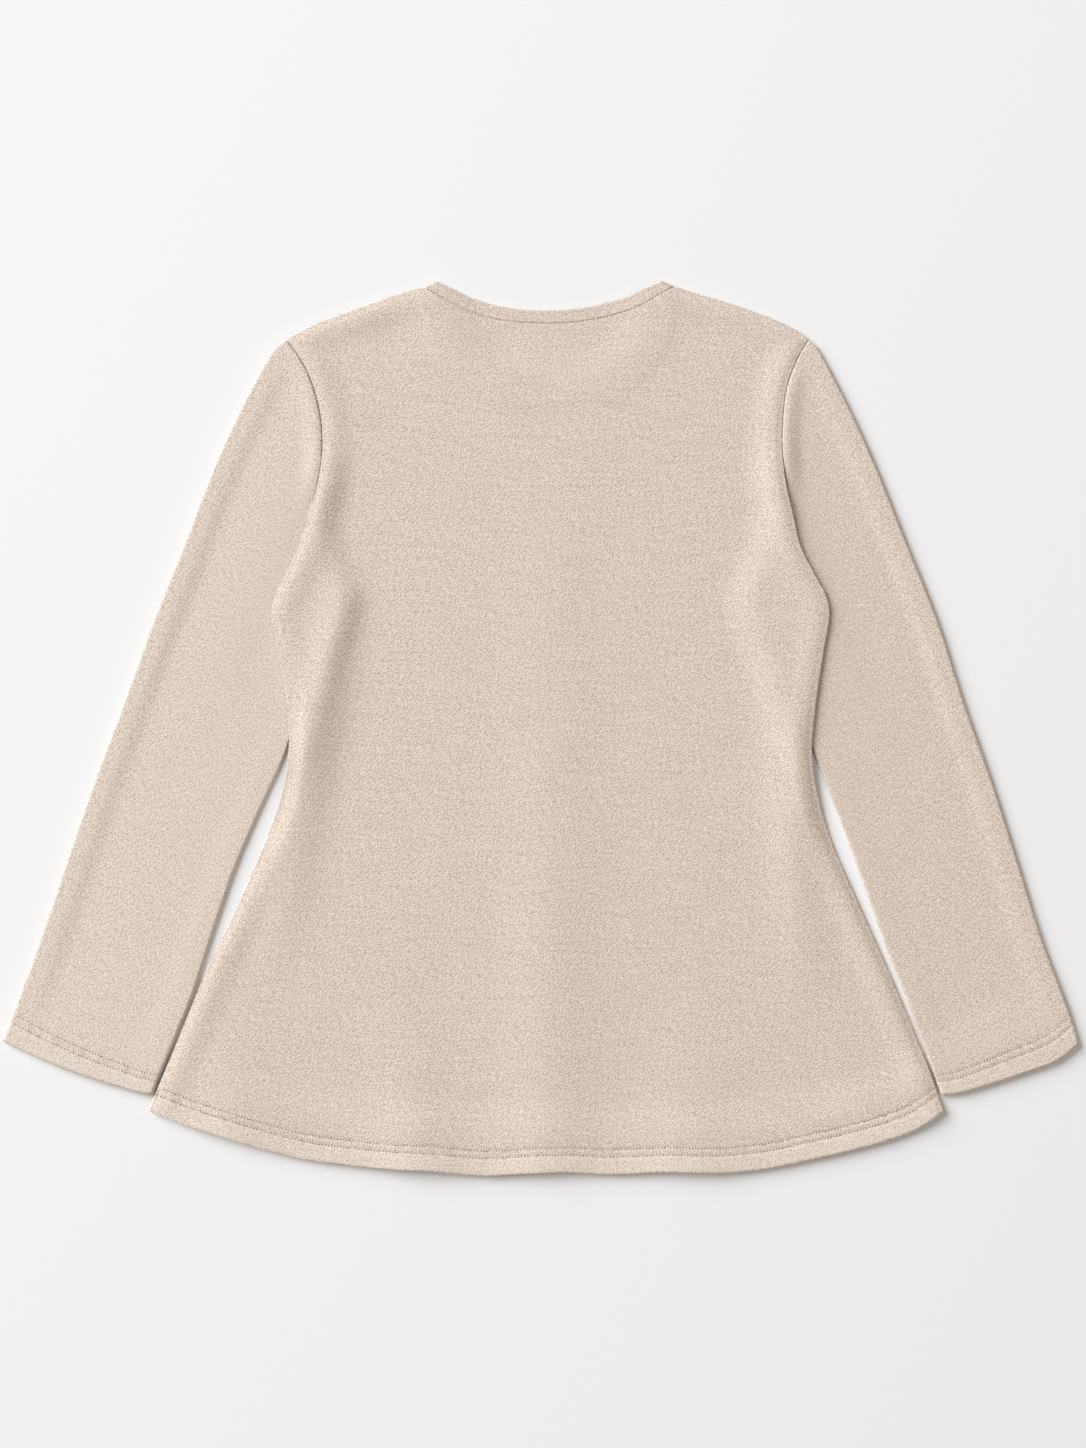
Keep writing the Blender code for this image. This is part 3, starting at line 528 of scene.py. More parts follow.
def joined(lines: Sequence[Curve], breaks: Sequence[float]) -> Edge:
    """One edge made of several lines that follow each other.

    Args:
        lines: The lines.
        breaks: The shares across the edge at which each one starts and ends.

    Returns:
        A function from the share across the edge to the point.
    """

    def at(share: Any) -> np.ndarray:
        """Reads the line that this share of the edge falls on.

        Args:
            share: Shares across the edge.

        Returns:
            The points there.
        """
        share = np.asarray(share, float)
        place = np.zeros(share.shape + (2,))
        for line, first, last in zip(lines, breaks, breaks[1:]):
            here = (share >= first) & (share <= last)
            place[here] = line.at((share[here] - first) / (last - first))
        return place

    return at


def fold_heights(folds: Sequence[Fold], points: np.ndarray) -> np.ndarray:
    """The height of soft folds: each one's height along its line times a bump across it.

    Args:
        folds: The folds.
        points: A grid of points.

    Returns:
        Their height together at each point.
    """
    total = np.zeros(points.shape[:-1])
    for fold in folds:
        near = Nearest(points, Curve([fold.start, fold.middle, fold.end]).line)
        width = blend(fold.start_width, fold.end_width, near.fraction)
        heights = (fold.start_height, fold.middle_height, fold.end_height)
        total += np.interp(near.fraction, (0.0, 0.5, 1.0), heights) * bell(near.distance, width)
    return total


class Outline:
    """The garment's edges in plan, and how high its layers lie."""

    def __init__(self) -> None:
        """Draws the edges."""
        self.body = {side: Curve(columns(BODY_SIDES, side.value, "down")) for side in Side}
        self.shoulder = {side: self.shoulder_edge(side) for side in Side}
        corners = [self.body[side].line[-1:] for side in Side]
        self.hem = Curve(np.vstack([corners[0], columns(HEM_EDGE, "across", "down"), corners[1]]))
        self.back_seam = Curve(columns(BACK_BAND, "seam_across", "seam_down"))
        self.back_free = Curve(columns(BACK_BAND, "free_across", "free_down"))
        self.front_seam = {side: self.front_line(side, "seam") for side in Side}
        self.front_free = {side: self.front_line(side, "free") for side in Side}
        left_seam, right_seam = (self.front_seam[side].line for side in Side)
        self.neck_hole = np.vstack([left_seam, right_seam[::-1]])
        self.sides = {
            side: np.vstack([self.shoulder[side].line, self.body[side].line[1:]]) for side in Side
        }
        self.tuck = {side: self.tuck_line(side) for side in Side}

    def shoulder_edge(self, side: Side) -> Curve:
        """The shoulder, from the neck to its tip.

        Args:
            side: Which one.

        Returns:
            The edge.
        """
        steps = columns(SHOULDERS, "out", side.value) * (side.out, 1.0)
        return Curve(np.vstack([steps, self.body[side].line[:1]]))

    def front_line(self, side: Side, edge: str) -> Curve:
        """The neckband's front stretch, from the shoulder to the centre front.

        Args:
            side: Which front.
            edge: Its "seam" or its "free" edge.

        Returns:
            The edge.
        """
        fold = BACK_BAND[0 if side is Side.LEFT else -1]
        start = columns([fold], f"{edge}_across", f"{edge}_down")
        rest = columns(FRONT_BAND, f"{edge}_across", f"{edge}_down") * (side.out, 1.0)
        return Curve(np.vstack([start, rest]))

    def tuck_line(self, side: Side, fold: float = 178.0, every: int = 4) -> np.ndarray:
        """The rim of a sleeve's hidden end and, below it, its underarm fold.

        Args:
            side: Which sleeve.
            fold: How far down the sleeve starts to go in under the body.
            every: How many points of the armhole are passed over for each one kept.

        Returns:
            The line.
        """
        edge = self.body[side].line
        armhole = edge[(edge[:, 1] > LAYING.lift_starts) & (edge[:, 1] < fold)]
        hidden = columns(SLEEVE_END[:1], side.value, "down")
        below = columns(SLEEVE_INNER[:UNDER_BODY], side.value, "down")
        return Curve(np.vstack([armhole[::every], hidden, below])).line

    def lift(self, points: np.ndarray) -> np.ndarray:
        """How high the body's underside is held up by the sleeves' folded ends.

        The full lift times an S in and out down the body, times an S that falls past the sleeve's rim.

        Args:
            points: A grid of points.

        Returns:
            The height at each.
        """
        down = points[..., 1]
        level = smooth_step((down - LAYING.lift_starts) / (LAYING.lift_full - LAYING.lift_starts))
        level *= 1.0 - smooth_step((down - LAYING.lift_ends) / (LAYING.lift_gone - LAYING.lift_ends))
        reach = np.zeros(points.shape[:-1])
        for side in Side:
            near = Nearest(points, self.tuck[side])
            over_sleeve = -side.out * near.turn * near.distance
            margin, slope = LAYING.lift_edge(side)
            reach = np.maximum(reach, smooth_step(1.0 + (over_sleeve + margin) / slope))
        return LAYING.body_lift * level * reach

    def support(self, points: np.ndarray) -> np.ndarray:
        """The thickness of the fronts or of the neckband under the back, and nothing in the neck hole.

        The two are blended across the neckband's seam, and fade over a distance into the hole.

        Args:
            points: A grid of points.

        Returns:
            The thickness at each.
        """
        near = Nearest(points, self.neck_hole)
        inside = -near.turn * near.distance
        band = smooth_step((inside + LAYING.band_margin + LAYING.band_blend) / LAYING.band_blend)
        hole = smooth_step((inside - LAYING.neck_sag_starts) / LAYING.neck_sag)
        return blend(CLOTH.wall, CLOTH.band, band) * (1.0 - hole)

    def from_hem(self, points: np.ndarray) -> tuple[np.ndarray, np.ndarray]:
        """Where points are from the hem.

        Args:
            points: A grid of points.

        Returns:
            How far above it each is, and how far along it.
        """
        near = Nearest(points, self.hem.line)
        return near.distance, near.fraction * self.hem.length

    def surface(self, points: np.ndarray) -> np.ndarray:
        """The height of the back's upper side, without its finest creases.

        The layers below and the cloth, plus a roll and a seam beside the edges, the hem's second
        layer and its curl, and inside the edges the puff of the cloth and its folds.

        Args:
            points: A grid of points.

        Returns:
            The height at each.
        """
        near = [Nearest(points, self.sides[side]) for side in Side]
        left_is_near = near[0].distance < near[1].distance
        distance = np.where(left_is_near, near[0].distance, near[1].distance)
        down = np.where(left_is_near, near[0].down, near[1].down)

        def beside_edge(what: str) -> np.ndarray:
            """The height that EDGE_ROLLS gives beside the nearer edge.

            Args:
                what: Its name, without the side.

            Returns:
                The height at each point.
            """
            tables = (columns(EDGE_ROLLS, "down", f"{side.value}_{what}").T for side in Side)
            left, right = (np.interp(down, *table) for table in tables)
            return np.where(left_is_near, left, right)

        fall = 1.0 - smooth_step((distance - LAYING.roll_starts) / LAYING.roll_fall)
        roll = beside_edge("roll") * smooth_step(distance / LAYING.roll_rise) * fall
        seam = beside_edge("seam") * (1.0 - smooth_step(distance / (LAYING.roll_starts + LAYING.roll_fall)))
        inner = smooth_step(distance / (2 * LAYING.roll_rise))
        above, _ = self.from_hem(points)
        hem = 2 * CLOTH.wall * (1.0 - smooth_step((above - HEM.depth - 2 * HEM.ramp) / LAYING.hem_slope))
        hem += HEM.curl * (1.0 - smooth_step(above / HEM.depth))
        base = self.lift(points) + self.support(points) + CLOTH.gap + CLOTH.wall
        return base + roll + seam + hem + inner * (LAYING.puff + fold_heights(BODY_FOLDS, points))


class Finish:
    """A material's nodes, made one after the other."""

    # A Mix node's sockets by number, where it mixes colours
    SHARE, FIRST, LAST, MIXED = 0, 6, 7, 2

    def __init__(self, name: str) -> None:
        """Starts the material.

        Args:
            name: Its name.
        """
        self.material = bpy.data.materials.new(name)
        self.material.use_nodes = True
        self.tree = self.material.node_tree
        self.shader = self.tree.nodes["Principled BSDF"]

    def node(self, kind: str, settings: dict[str, Any], inputs: dict[Any, Any], output: Any = 0) -> "Value":
        """Adds a node.

        Args:
            kind: Its type.
            settings: Its own settings, made first.
            inputs: Values, or links from others, by socket name or number.
            output: The socket that is wanted.

        Returns:
            That socket.
        """
        made = self.tree.nodes.new(kind)
        for name, setting in settings.items():
            setattr(made, name, setting)
        for name, value in inputs.items():
            if isinstance(value, Value):
                self.tree.links.new(value.socket, made.inputs[name])
            else:
                made.inputs[name].default_value = value
        return Value(self, made.outputs[output])

    def mix(self, share: "Value", first: Colour, last: Colour) -> "Value":
        """Mixes two colours.

        Args:
            share: How much of the last one, from 0 to 1.
            first: The first colour.
            last: The last colour.

        Returns:
            The mixed colour.
        """
        settings = {"data_type": "RGBA", "clamp_factor": True}
        inputs = {self.SHARE: share, self.FIRST: first, self.LAST: last}
        return self.node("ShaderNodeMix", settings, inputs, self.MIXED)

    def link(self, value: "Value", name: str) -> None:
        """Links a value to the material's shader.

        Args:
            value: The value.
            name: The shader's socket.
        """
        self.tree.links.new(value.socket, self.shader.inputs[name])

    def set(self, name: str, value: Any) -> None:
        """Gives a socket of the shader its value.

        Args:
            name: The socket.
            value: The value.
        """
        self.shader.inputs[name].default_value = value


@dataclass(frozen=True)
class Value:
    """A socket that can be used in sums."""

    finish: Finish
    socket: Any

    def sum(self, operation: str, first: Any, second: Any) -> "Value":
        """One Math node.

        Args:
            operation: Its operation.
            first: Its first value.
            second: Its second value.

        Returns:
            The result.
        """
        return self.finish.node("ShaderNodeMath", {"operation": operation}, {0: first, 1: second})

    def __add__(self, other: Any) -> "Value":
        """Adds."""
        return self.sum("ADD", self, other)

    def __radd__(self, other: Any) -> "Value":
        """Adds this to another."""
        return self.sum("ADD", other, self)

    def __sub__(self, other: Any) -> "Value":
        """Subtracts."""
        return self.sum("SUBTRACT", self, other)

    def __rsub__(self, other: Any) -> "Value":
        """Subtracts this from another."""
        return self.sum("SUBTRACT", other, self)

    def __mul__(self, other: Any) -> "Value":
        """Multiplies."""
        return self.sum("MULTIPLY", self, other)

    def __rmul__(self, other: Any) -> "Value":
        """Multiplies another by this."""
        return self.sum("MULTIPLY", other, self)


@dataclass(frozen=True)
class Knit:
    """The brushed, heathered knit. Lengths are in metres along the cloth."""

    name: str = "brushed_knit"
    dark: Colour = (0.542, 0.379, 0.282, 1.0)
    light: Colour = (0.862, 0.780, 0.697, 1.0)
    balance: float = 0.57
    streak_length: float = 0.0042
    streak_width: float = 0.0010
    streak_detail: float = 2.0
    grain: float = 0.0010
    grain_detail: float = 1.0
    course_length: float = 0.040
    course_width: float = 0.0030
    course_detail: float = 3.0
    detail_roughness: float = 0.6
    streaks_show: float = 1.6
    grain_shows: float = 3.3
    courses_show: float = 0.4
    # Painted light: the hem band below the stitch rows is made lighter, standing in for its tilt to the
    # lamp.
    band_painted_light: float = 0.16
    nap_height: float = 0.00023
    streaks_raise: float = 0.6
    roughness: float = 0.95
    specular: float = 0.2
    sheen: float = 0.08
    sheen_roughness: float = 0.45

    def material(self) -> bpy.types.Material:
        """Makes the material.

        Its colour lies between the dark and the light yarn, by the balance plus streaks along the
        nap, fine grain and the knit's courses, each a noise from -0.5 to 0.5, and painted light on
        the hem bands, which are made lighter as if they were tilted to the lamp.

        Returns:
            The material.
        """
        finish = Finish(self.name)
        nap = finish.node("ShaderNodeUVMap", {"uv_map": "nap"}, {})
        rows = finish.node("ShaderNodeUVMap", {"uv_map": "rows"}, {})

        def noise(length: float, width: float, detail: float, along: Value = nap) -> Value:
            """Flecks of one size, as a noise from -0.5 to 0.5.

            Args:
                length: Their length.
                width: Their width.
                detail: How many finer noises are added to it.
                along: The places on the cloth that they follow.

            Returns:
                The noise.
            """
            scale = (1.0 / length, 1.0 / width, 0.0)
            place = finish.node("ShaderNodeVectorMath", {"operation": "MULTIPLY"}, {0: along, 1: scale})
            inputs = {"Vector": place, "Scale": 1.0, "Detail": detail, "Roughness": self.detail_roughness}
            return finish.node("ShaderNodeTexNoise", {"noise_dimensions": "2D"}, inputs, "Fac") - 0.5

        streaks = noise(self.streak_length, self.streak_width, self.streak_detail)
        grain = noise(self.grain, self.grain, self.grain_detail)
        courses = noise(self.course_length, self.course_width, self.course_detail, rows)
        band = finish.node("ShaderNodeAttribute", {"attribute_name": "band"}, {}, "Fac")
        speckle = streaks * self.streaks_show + grain * self.grain_shows + courses * self.courses_show
        # Painted light: the hem band is lifted toward the light yarn, as if it were tilted to the lamp.
        heather = self.balance + band * self.band_painted_light + speckle
        relief = streaks * self.streaks_raise + grain
        bump = {"Height": relief, "Distance": self.nap_height, "Strength": 1.0}
        finish.link(finish.mix(heather, self.dark, self.light), "Base Color")
        finish.link(finish.node("ShaderNodeBump", {}, bump), "Normal")
        finish.set("Roughness", self.roughness)
        finish.set("Specular IOR Level", self.specular)
        finish.set("Sheen Weight", self.sheen)
        finish.set("Sheen Roughness", self.sheen_roughness)
        return finish.material


@dataclass(frozen=True)
class Plain:
    """A finish of one colour."""

    name: str
    colour: Colour
    roughness: float = 0.9
    specular: float = 0.15

    def material(self) -> bpy.types.Material:
        """Makes the material.

        Returns:
            The material.
        """
        finish = Finish(self.name)
        finish.set("Base Color", self.colour)
        finish.set("Roughness", self.roughness)
        finish.set("Specular IOR Level", self.specular)
        return finish.material


KNIT = Knit()
# A lit copy of the knit for the left sleeve: painted light, lighter in colour as if its brushed nap caught
# the lamp.
PAINTED_LIGHT_KNIT = Knit("brushed_knit_painted_light", balance=0.66, courses_show=0.15)
THREAD = Plain("thread", (0.85, 0.77, 0.69, 1.0))
# Dark beads in the needle holes: painted shade, for the shade that falls into each hole.
NEEDLE_HOLE_SHADE = Plain("needle_hole_painted_shade", (0.20, 0.135, 0.09, 1.0))


@dataclass(frozen=True)
class Grain:
    """How the nap of the cloth runs: its angle, and how it sways."""

    angle: float = 0.0
    sway: float = 5.0
    sway_length: float = 70.0

    def place(self, plan: np.ndarray) -> np.ndarray:
        """Where points are on the flat cloth, the nap running along the first axis.

        The plan is turned by the nap's angle, and swayed sideways by a long sine wave.

        Args:
            plan: The points.

        Returns:
            Their places, in millimetres.
        """
        turn = math.radians(self.angle)
        along = plan[..., 0] * math.cos(turn) - plan[..., 1] * math.sin(turn)
        beside = plan[..., 0] * math.sin(turn) + plan[..., 1] * math.cos(turn)
        sway = self.sway * np.sin(along / self.sway_length + beside / (2 * self.sway_length))
        return np.stack([along, beside + sway], axis=-1)


class Mesh:
    """Grids of points joined into one closed mesh. Points are given across, down and up, in millimetres."""

    def __init__(
        self, name: str, grain: Grain = Grain(), above: Callable[..., np.ndarray] | None = None
    ) -> None:
        """Starts the mesh.

        Args:
            name: The object's name.
            grain: How its nap runs.
            above: Tells how far above the hem places on the cloth are, where it has a hem.
        """
        self.name = name
        self.grain = grain
        self.above = above
        self.points: list[np.ndarray] = []
        self.cloth: list[np.ndarray] = []
        self.faces: list[np.ndarray] = []
        self.count = 0

    def add(self, plan: np.ndarray, height: Any, cloth: np.ndarray | None = None) -> np.ndarray:
        """Adds points.

        Args:
            plan: A grid of places.
            height: Their heights.
            cloth: Their places on the flat cloth, which are the plan's if they aren't given.

        Returns:
            Their numbers, in the shape of the grid.
        """
        shape = plan.shape[:-1]
        height = np.broadcast_to(height, shape)
        self.points.append(np.stack([plan[..., 0], plan[..., 1], height], axis=-1).reshape(-1, 3))
        self.cloth.append(np.asarray(plan if cloth is None else cloth, float).reshape(-1, 2))
        numbers = np.arange(self.count, self.count + height.size).reshape(shape)
        self.count += height.size
        return numbers

    def skin(self, grid: np.ndarray) -> None:
        """Faces between the neighbouring points of a grid.

        Args:
            grid: The points' numbers.
        """
        corners = (grid[:-1, :-1], grid[1:, :-1], grid[1:, 1:], grid[:-1, 1:])
        self.faces.append(np.stack(corners, axis=-1).reshape(-1, 4))

    @staticmethod
    def outward(points: np.ndarray, faces: np.ndarray) -> np.ndarray:
        """Turns the faces outward, by the sign of the volume that they enclose.

        Args:
            points: All the points.
            faces: All the faces, each way round alike.

        Returns:
            The faces, the other way round if the mesh was inside out.
        """
        first, second, third, fourth = (points[faces[:, corner]] for corner in range(4))
        volume = (np.cross(third - first, fourth - second) * (first + third)).sum()
        return faces if volume > 0 else faces[:, ::-1]

    def make(self, material: bpy.types.Material) -> bpy.types.Object:
        """Makes the object.

        Args:
            material: Its material.

        Returns:
            The object, riding on the garment.
        """
        across, down, up = np.concatenate(self.points).T
        points = np.stack([across - LAYING.centre_across, LAYING.centre_down - down, up], axis=1) * MM
        faces = self.outward(points, np.concatenate(self.faces))
        mesh = bpy.data.meshes.new(self.name)
        mesh.vertices.add(len(points))
        mesh.vertices.foreach_set("co", points.reshape(-1))
        mesh.loops.add(faces.size)
        mesh.loops.foreach_set("vertex_index", faces.reshape(-1))
        mesh.polygons.add(len(faces))
        mesh.polygons.foreach_set("loop_start", np.arange(0, faces.size, 4))
        mesh.update(calc_edges=True)
        cloth = np.concatenate(self.cloth)
        for name, places in (("rows", cloth), ("nap", self.grain.place(cloth))):
            layer = mesh.uv_layers.new(name=name)
            layer.data.foreach_set("uv", (places[faces.reshape(-1)] * MM).reshape(-1))
        if self.above is not None:
            # The hem band below the first stitch row, where the knit paints light.
            band = smooth_step((HEM.rows[0] - self.above(cloth)) / HEM.groove_width)
            mesh.attributes.new("band", "FLOAT", "POINT").data.foreach_set("value", band)
        mesh.materials.append(material)
        mesh.shade_smooth()
        piece = bpy.data.objects.new(self.name, mesh)
        bpy.context.collection.objects.link(piece)
        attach(piece, "root")
        LOG.info("%s: %d triangles", self.name, 2 * len(faces))
        return piece


@dataclass(frozen=True)
class Lines:
    """Where a grid has its lines: distances from an edge, fine beside it, and degrees round its rim."""

    edge: tuple[float, ...] = (0.0, 1.5, 2.7, 4.0, 5.5, 7.2, 9.2, 11.5, 14.2, 17.5, 21.5, 26.0, 31.0, 36.5)
    hem: tuple[float, ...] = (
        60.0, 55.0, 50.2, 45.8, 41.8, 38.2, 35.0, 32.2, 29.8, 27.6, 25.6, 23.8, 22.2, 21.0,
        20.4, 19.9, 19.4, 18.9, 18.4, 17.5, 16.5, 15.5, 14.7, 14.2, 13.7, 13.2, 12.7, 11.9,
        10.8, 9.4, 7.8, 6.2, 4.6, 3.2, 2.2, 0.0,
    )
    rim: tuple[float, ...] = (60.0, 30.0, 0.0, -30.0, -60.0)


LINES = Lines()


def graded(near: np.ndarray, far: np.ndarray, count: int) -> np.ndarray:
    """Even grid lines between two lines, neither of them included.

    Args:
        near: The first line.
        far: The last line.
        count: How many.

    Returns:
        The lines, along the last axis.
    """
    shares = np.arange(1, count + 1) / (count + 1)
    return near + (far - near) * shares


def grid_rows(length: Any, top_lines: Sequence[float], count: int) -> np.ndarray:
    """The rows of a grid as fractions of its length, fine at the top and the hem.

    Args:
        length: The grid's length at each of its columns, in millimetres.
        top_lines: Distances of its first rows from the top.
        count: How many rows lie between.

    Returns:
        A row of fractions for each column.
    """
    length = np.atleast_1d(np.asarray(length, float))[:, None]
    top = np.array(top_lines) / length
    hem = 1.0 - np.array(LINES.hem) / length
    return np.hstack([top, graded(top[:, -1:], hem[:, :1], count), hem])


def patch(left: Edge, right: Edge, top: Edge, bottom: Edge, u: np.ndarray, v: np.ndarray) -> np.ndarray:
    """Points between two edges that keep their shape and two more that the patch is drawn to.

    A straight blend from top to bottom, plus what the left and right edges stray from it, each
    fading with the square of the distance across.

    Args:
        left: The edge that u starts at, read by v.
        right: The edge that u ends at, read by v.
        top: The edge that v starts at, read by u.
        bottom: The edge that v ends at, read by u.
        u: Shares from left to right.
        v: Shares from top to bottom.

    Returns:
        The points.
    """
    u_part = u[..., None]
    v_part = v[..., None]
    middle = blend(top(u), bottom(u), v_part)
    left_line = blend(top(0.0), bottom(0.0), v_part)
    right_line = blend(top(1.0), bottom(1.0), v_part)
    return middle + (1 - u_part) ** 2 * (left(v) - left_line) + u_part**2 * (right(v) - right_line)


def ring(values: np.ndarray) -> np.ndarray:
    """The border of a grid.

    Args:
        values: The grid.

    Returns:
        Its border, once round.
    """
    return np.concatenate([values[0, :-1], values[:-1, -1], values[-1, :0:-1], values[:0:-1, 0]])


def panel(name: str, plan: np.ndarray, top: np.ndarray, bottom: np.ndarray, cloth: tuple[Any, ...]) -> Mesh:
    """A sheet of cloth over a grid in plan, its edges half round.

    The two sides stop short of the edge by half the thickness, and a half circle joins them.

    Args:
        name: Its name.
        plan: The grid.
        top: The height of its upper side.
        bottom: The height of its lower side.
        cloth: How its nap runs, and how far above the hem its places are.

    Returns:
        The mesh.
    """
    half = (top - bottom) / 2
    moved = plan.copy()
    for edge, inner in ((0, 1), (-1, -2)):
        inward = plan[inner] - plan[edge]
        moved[edge] += half[edge][:, None] * inward / np.linalg.norm(inward, axis=-1)[:, None]
        inward = plan[:, inner] - plan[:, edge]
        moved[:, edge] += half[:, edge][:, None] * inward / np.linalg.norm(inward, axis=-1)[:, None]
    mesh = Mesh(name, *cloth)
    upper = mesh.add(moved, top, plan)
    lower = mesh.add(moved, bottom, plan)
    mesh.skin(upper)
    mesh.skin(lower[:, ::-1])
    middle = ring((top + bottom) / 2)
    rims = [ring(upper)]
    for turn in np.radians(LINES.rim):
        place = blend(ring(moved), ring(plan), math.cos(turn))
        rims.append(mesh.add(place, middle + ring(half) * math.sin(turn), ring(plan)))
    rims.append(ring(lower))
    mesh.skin(np.stack([np.append(numbers, numbers[0]) for numbers in rims])[::-1])
    return mesh


def hem_grooves(above: np.ndarray) -> np.ndarray:
    """How the stitch rows draw the cloth in: a bump at each row.

    Args:
        above: How far above the hem's edge points are.

    Returns:
        The depth at each.
    """
    return HEM.groove * sum(bell(above - row, HEM.groove_width) for row in HEM.rows)


def hem_pucker(above: np.ndarray, along: np.ndarray) -> np.ndarray:
    """The small waves that the stitches leave in the cloth: sines along the hem times a bump.

    Args:
        above: How far above the hem's edge points are.
        along: How far along the hem.

    Returns:
        The height at each.
    """
    middle = sum(HEM.rows) / len(HEM.rows)
    waves = sum(np.sin(2 * math.pi * along / wave + number) for number, wave in enumerate(HEM.pucker_waves))
    return HEM.pucker * waves * bell(above - middle, HEM.pucker_reach)


@dataclass(frozen=True)
class Unevenness:
    """The slight unevenness of cloth laid out by hand. The lengths of its waves are over 2 pi."""

    height: float = 0.10
    slow_lengths: tuple[float, float] = (17.0, 23.0)
    slow_bends: tuple[float, float] = (1.7, 1.3)
    slow_bend_lengths: tuple[float, float] = (61.0, 47.0)
    quick_share: float = 0.35
    quick_lengths: tuple[float, float] = (9.0, 13.0)
    quick_slants: tuple[float, float] = (0.6, -0.4)
    quick_bend: float = 2.0
    quick_bend_length: float = 37.0

    def at(self, plan: np.ndarray) -> np.ndarray:
        """Its height, the product of two slow waves plus a share of the product of two quick ones.

        Args:
            plan: A grid of points.

        Returns:
            The height at each point.
        """
        places = (plan[..., 0], plan[..., 1])
        waves = zip(places, places[::-1], self.slow_lengths, self.slow_bends, self.slow_bend_lengths)
        first, second = (
            np.sin(place / length + bend * np.sin(other / bend_length))
            for place, other, length, bend, bend_length in waves
        )
        slants = zip(places, places[::-1], self.quick_lengths, self.quick_slants)
        third, fourth = ((place + slant * other) / length for place, other, length, slant in slants)
        third = third + self.quick_bend * np.sin(places[1] / self.quick_bend_length)
        return self.height * (first * second + self.quick_share * np.sin(third) * np.sin(fourth))


UNEVENNESS = Unevenness()


@dataclass(frozen=True)
class BodySizes:
    """Grid of the body panels, and their cut."""

    back_flat: tuple[float, float] = (0.640, 0.720)
    back_area: float = 0.330
    front_flat: tuple[float, float] = (0.325, 0.720)
    front_area: float = 0.155
    rows_between: int = 120
    shoulder_lines: int = 18
    back_neck_lines: int = 56
    front_neck_lines: int = 30
    front_shoulder_share: float = 0.52
    centre_gap: float = 0.6
    centre_hem: float = 694.8
    creases_start: float = 12.0
    nap: float = 35.0


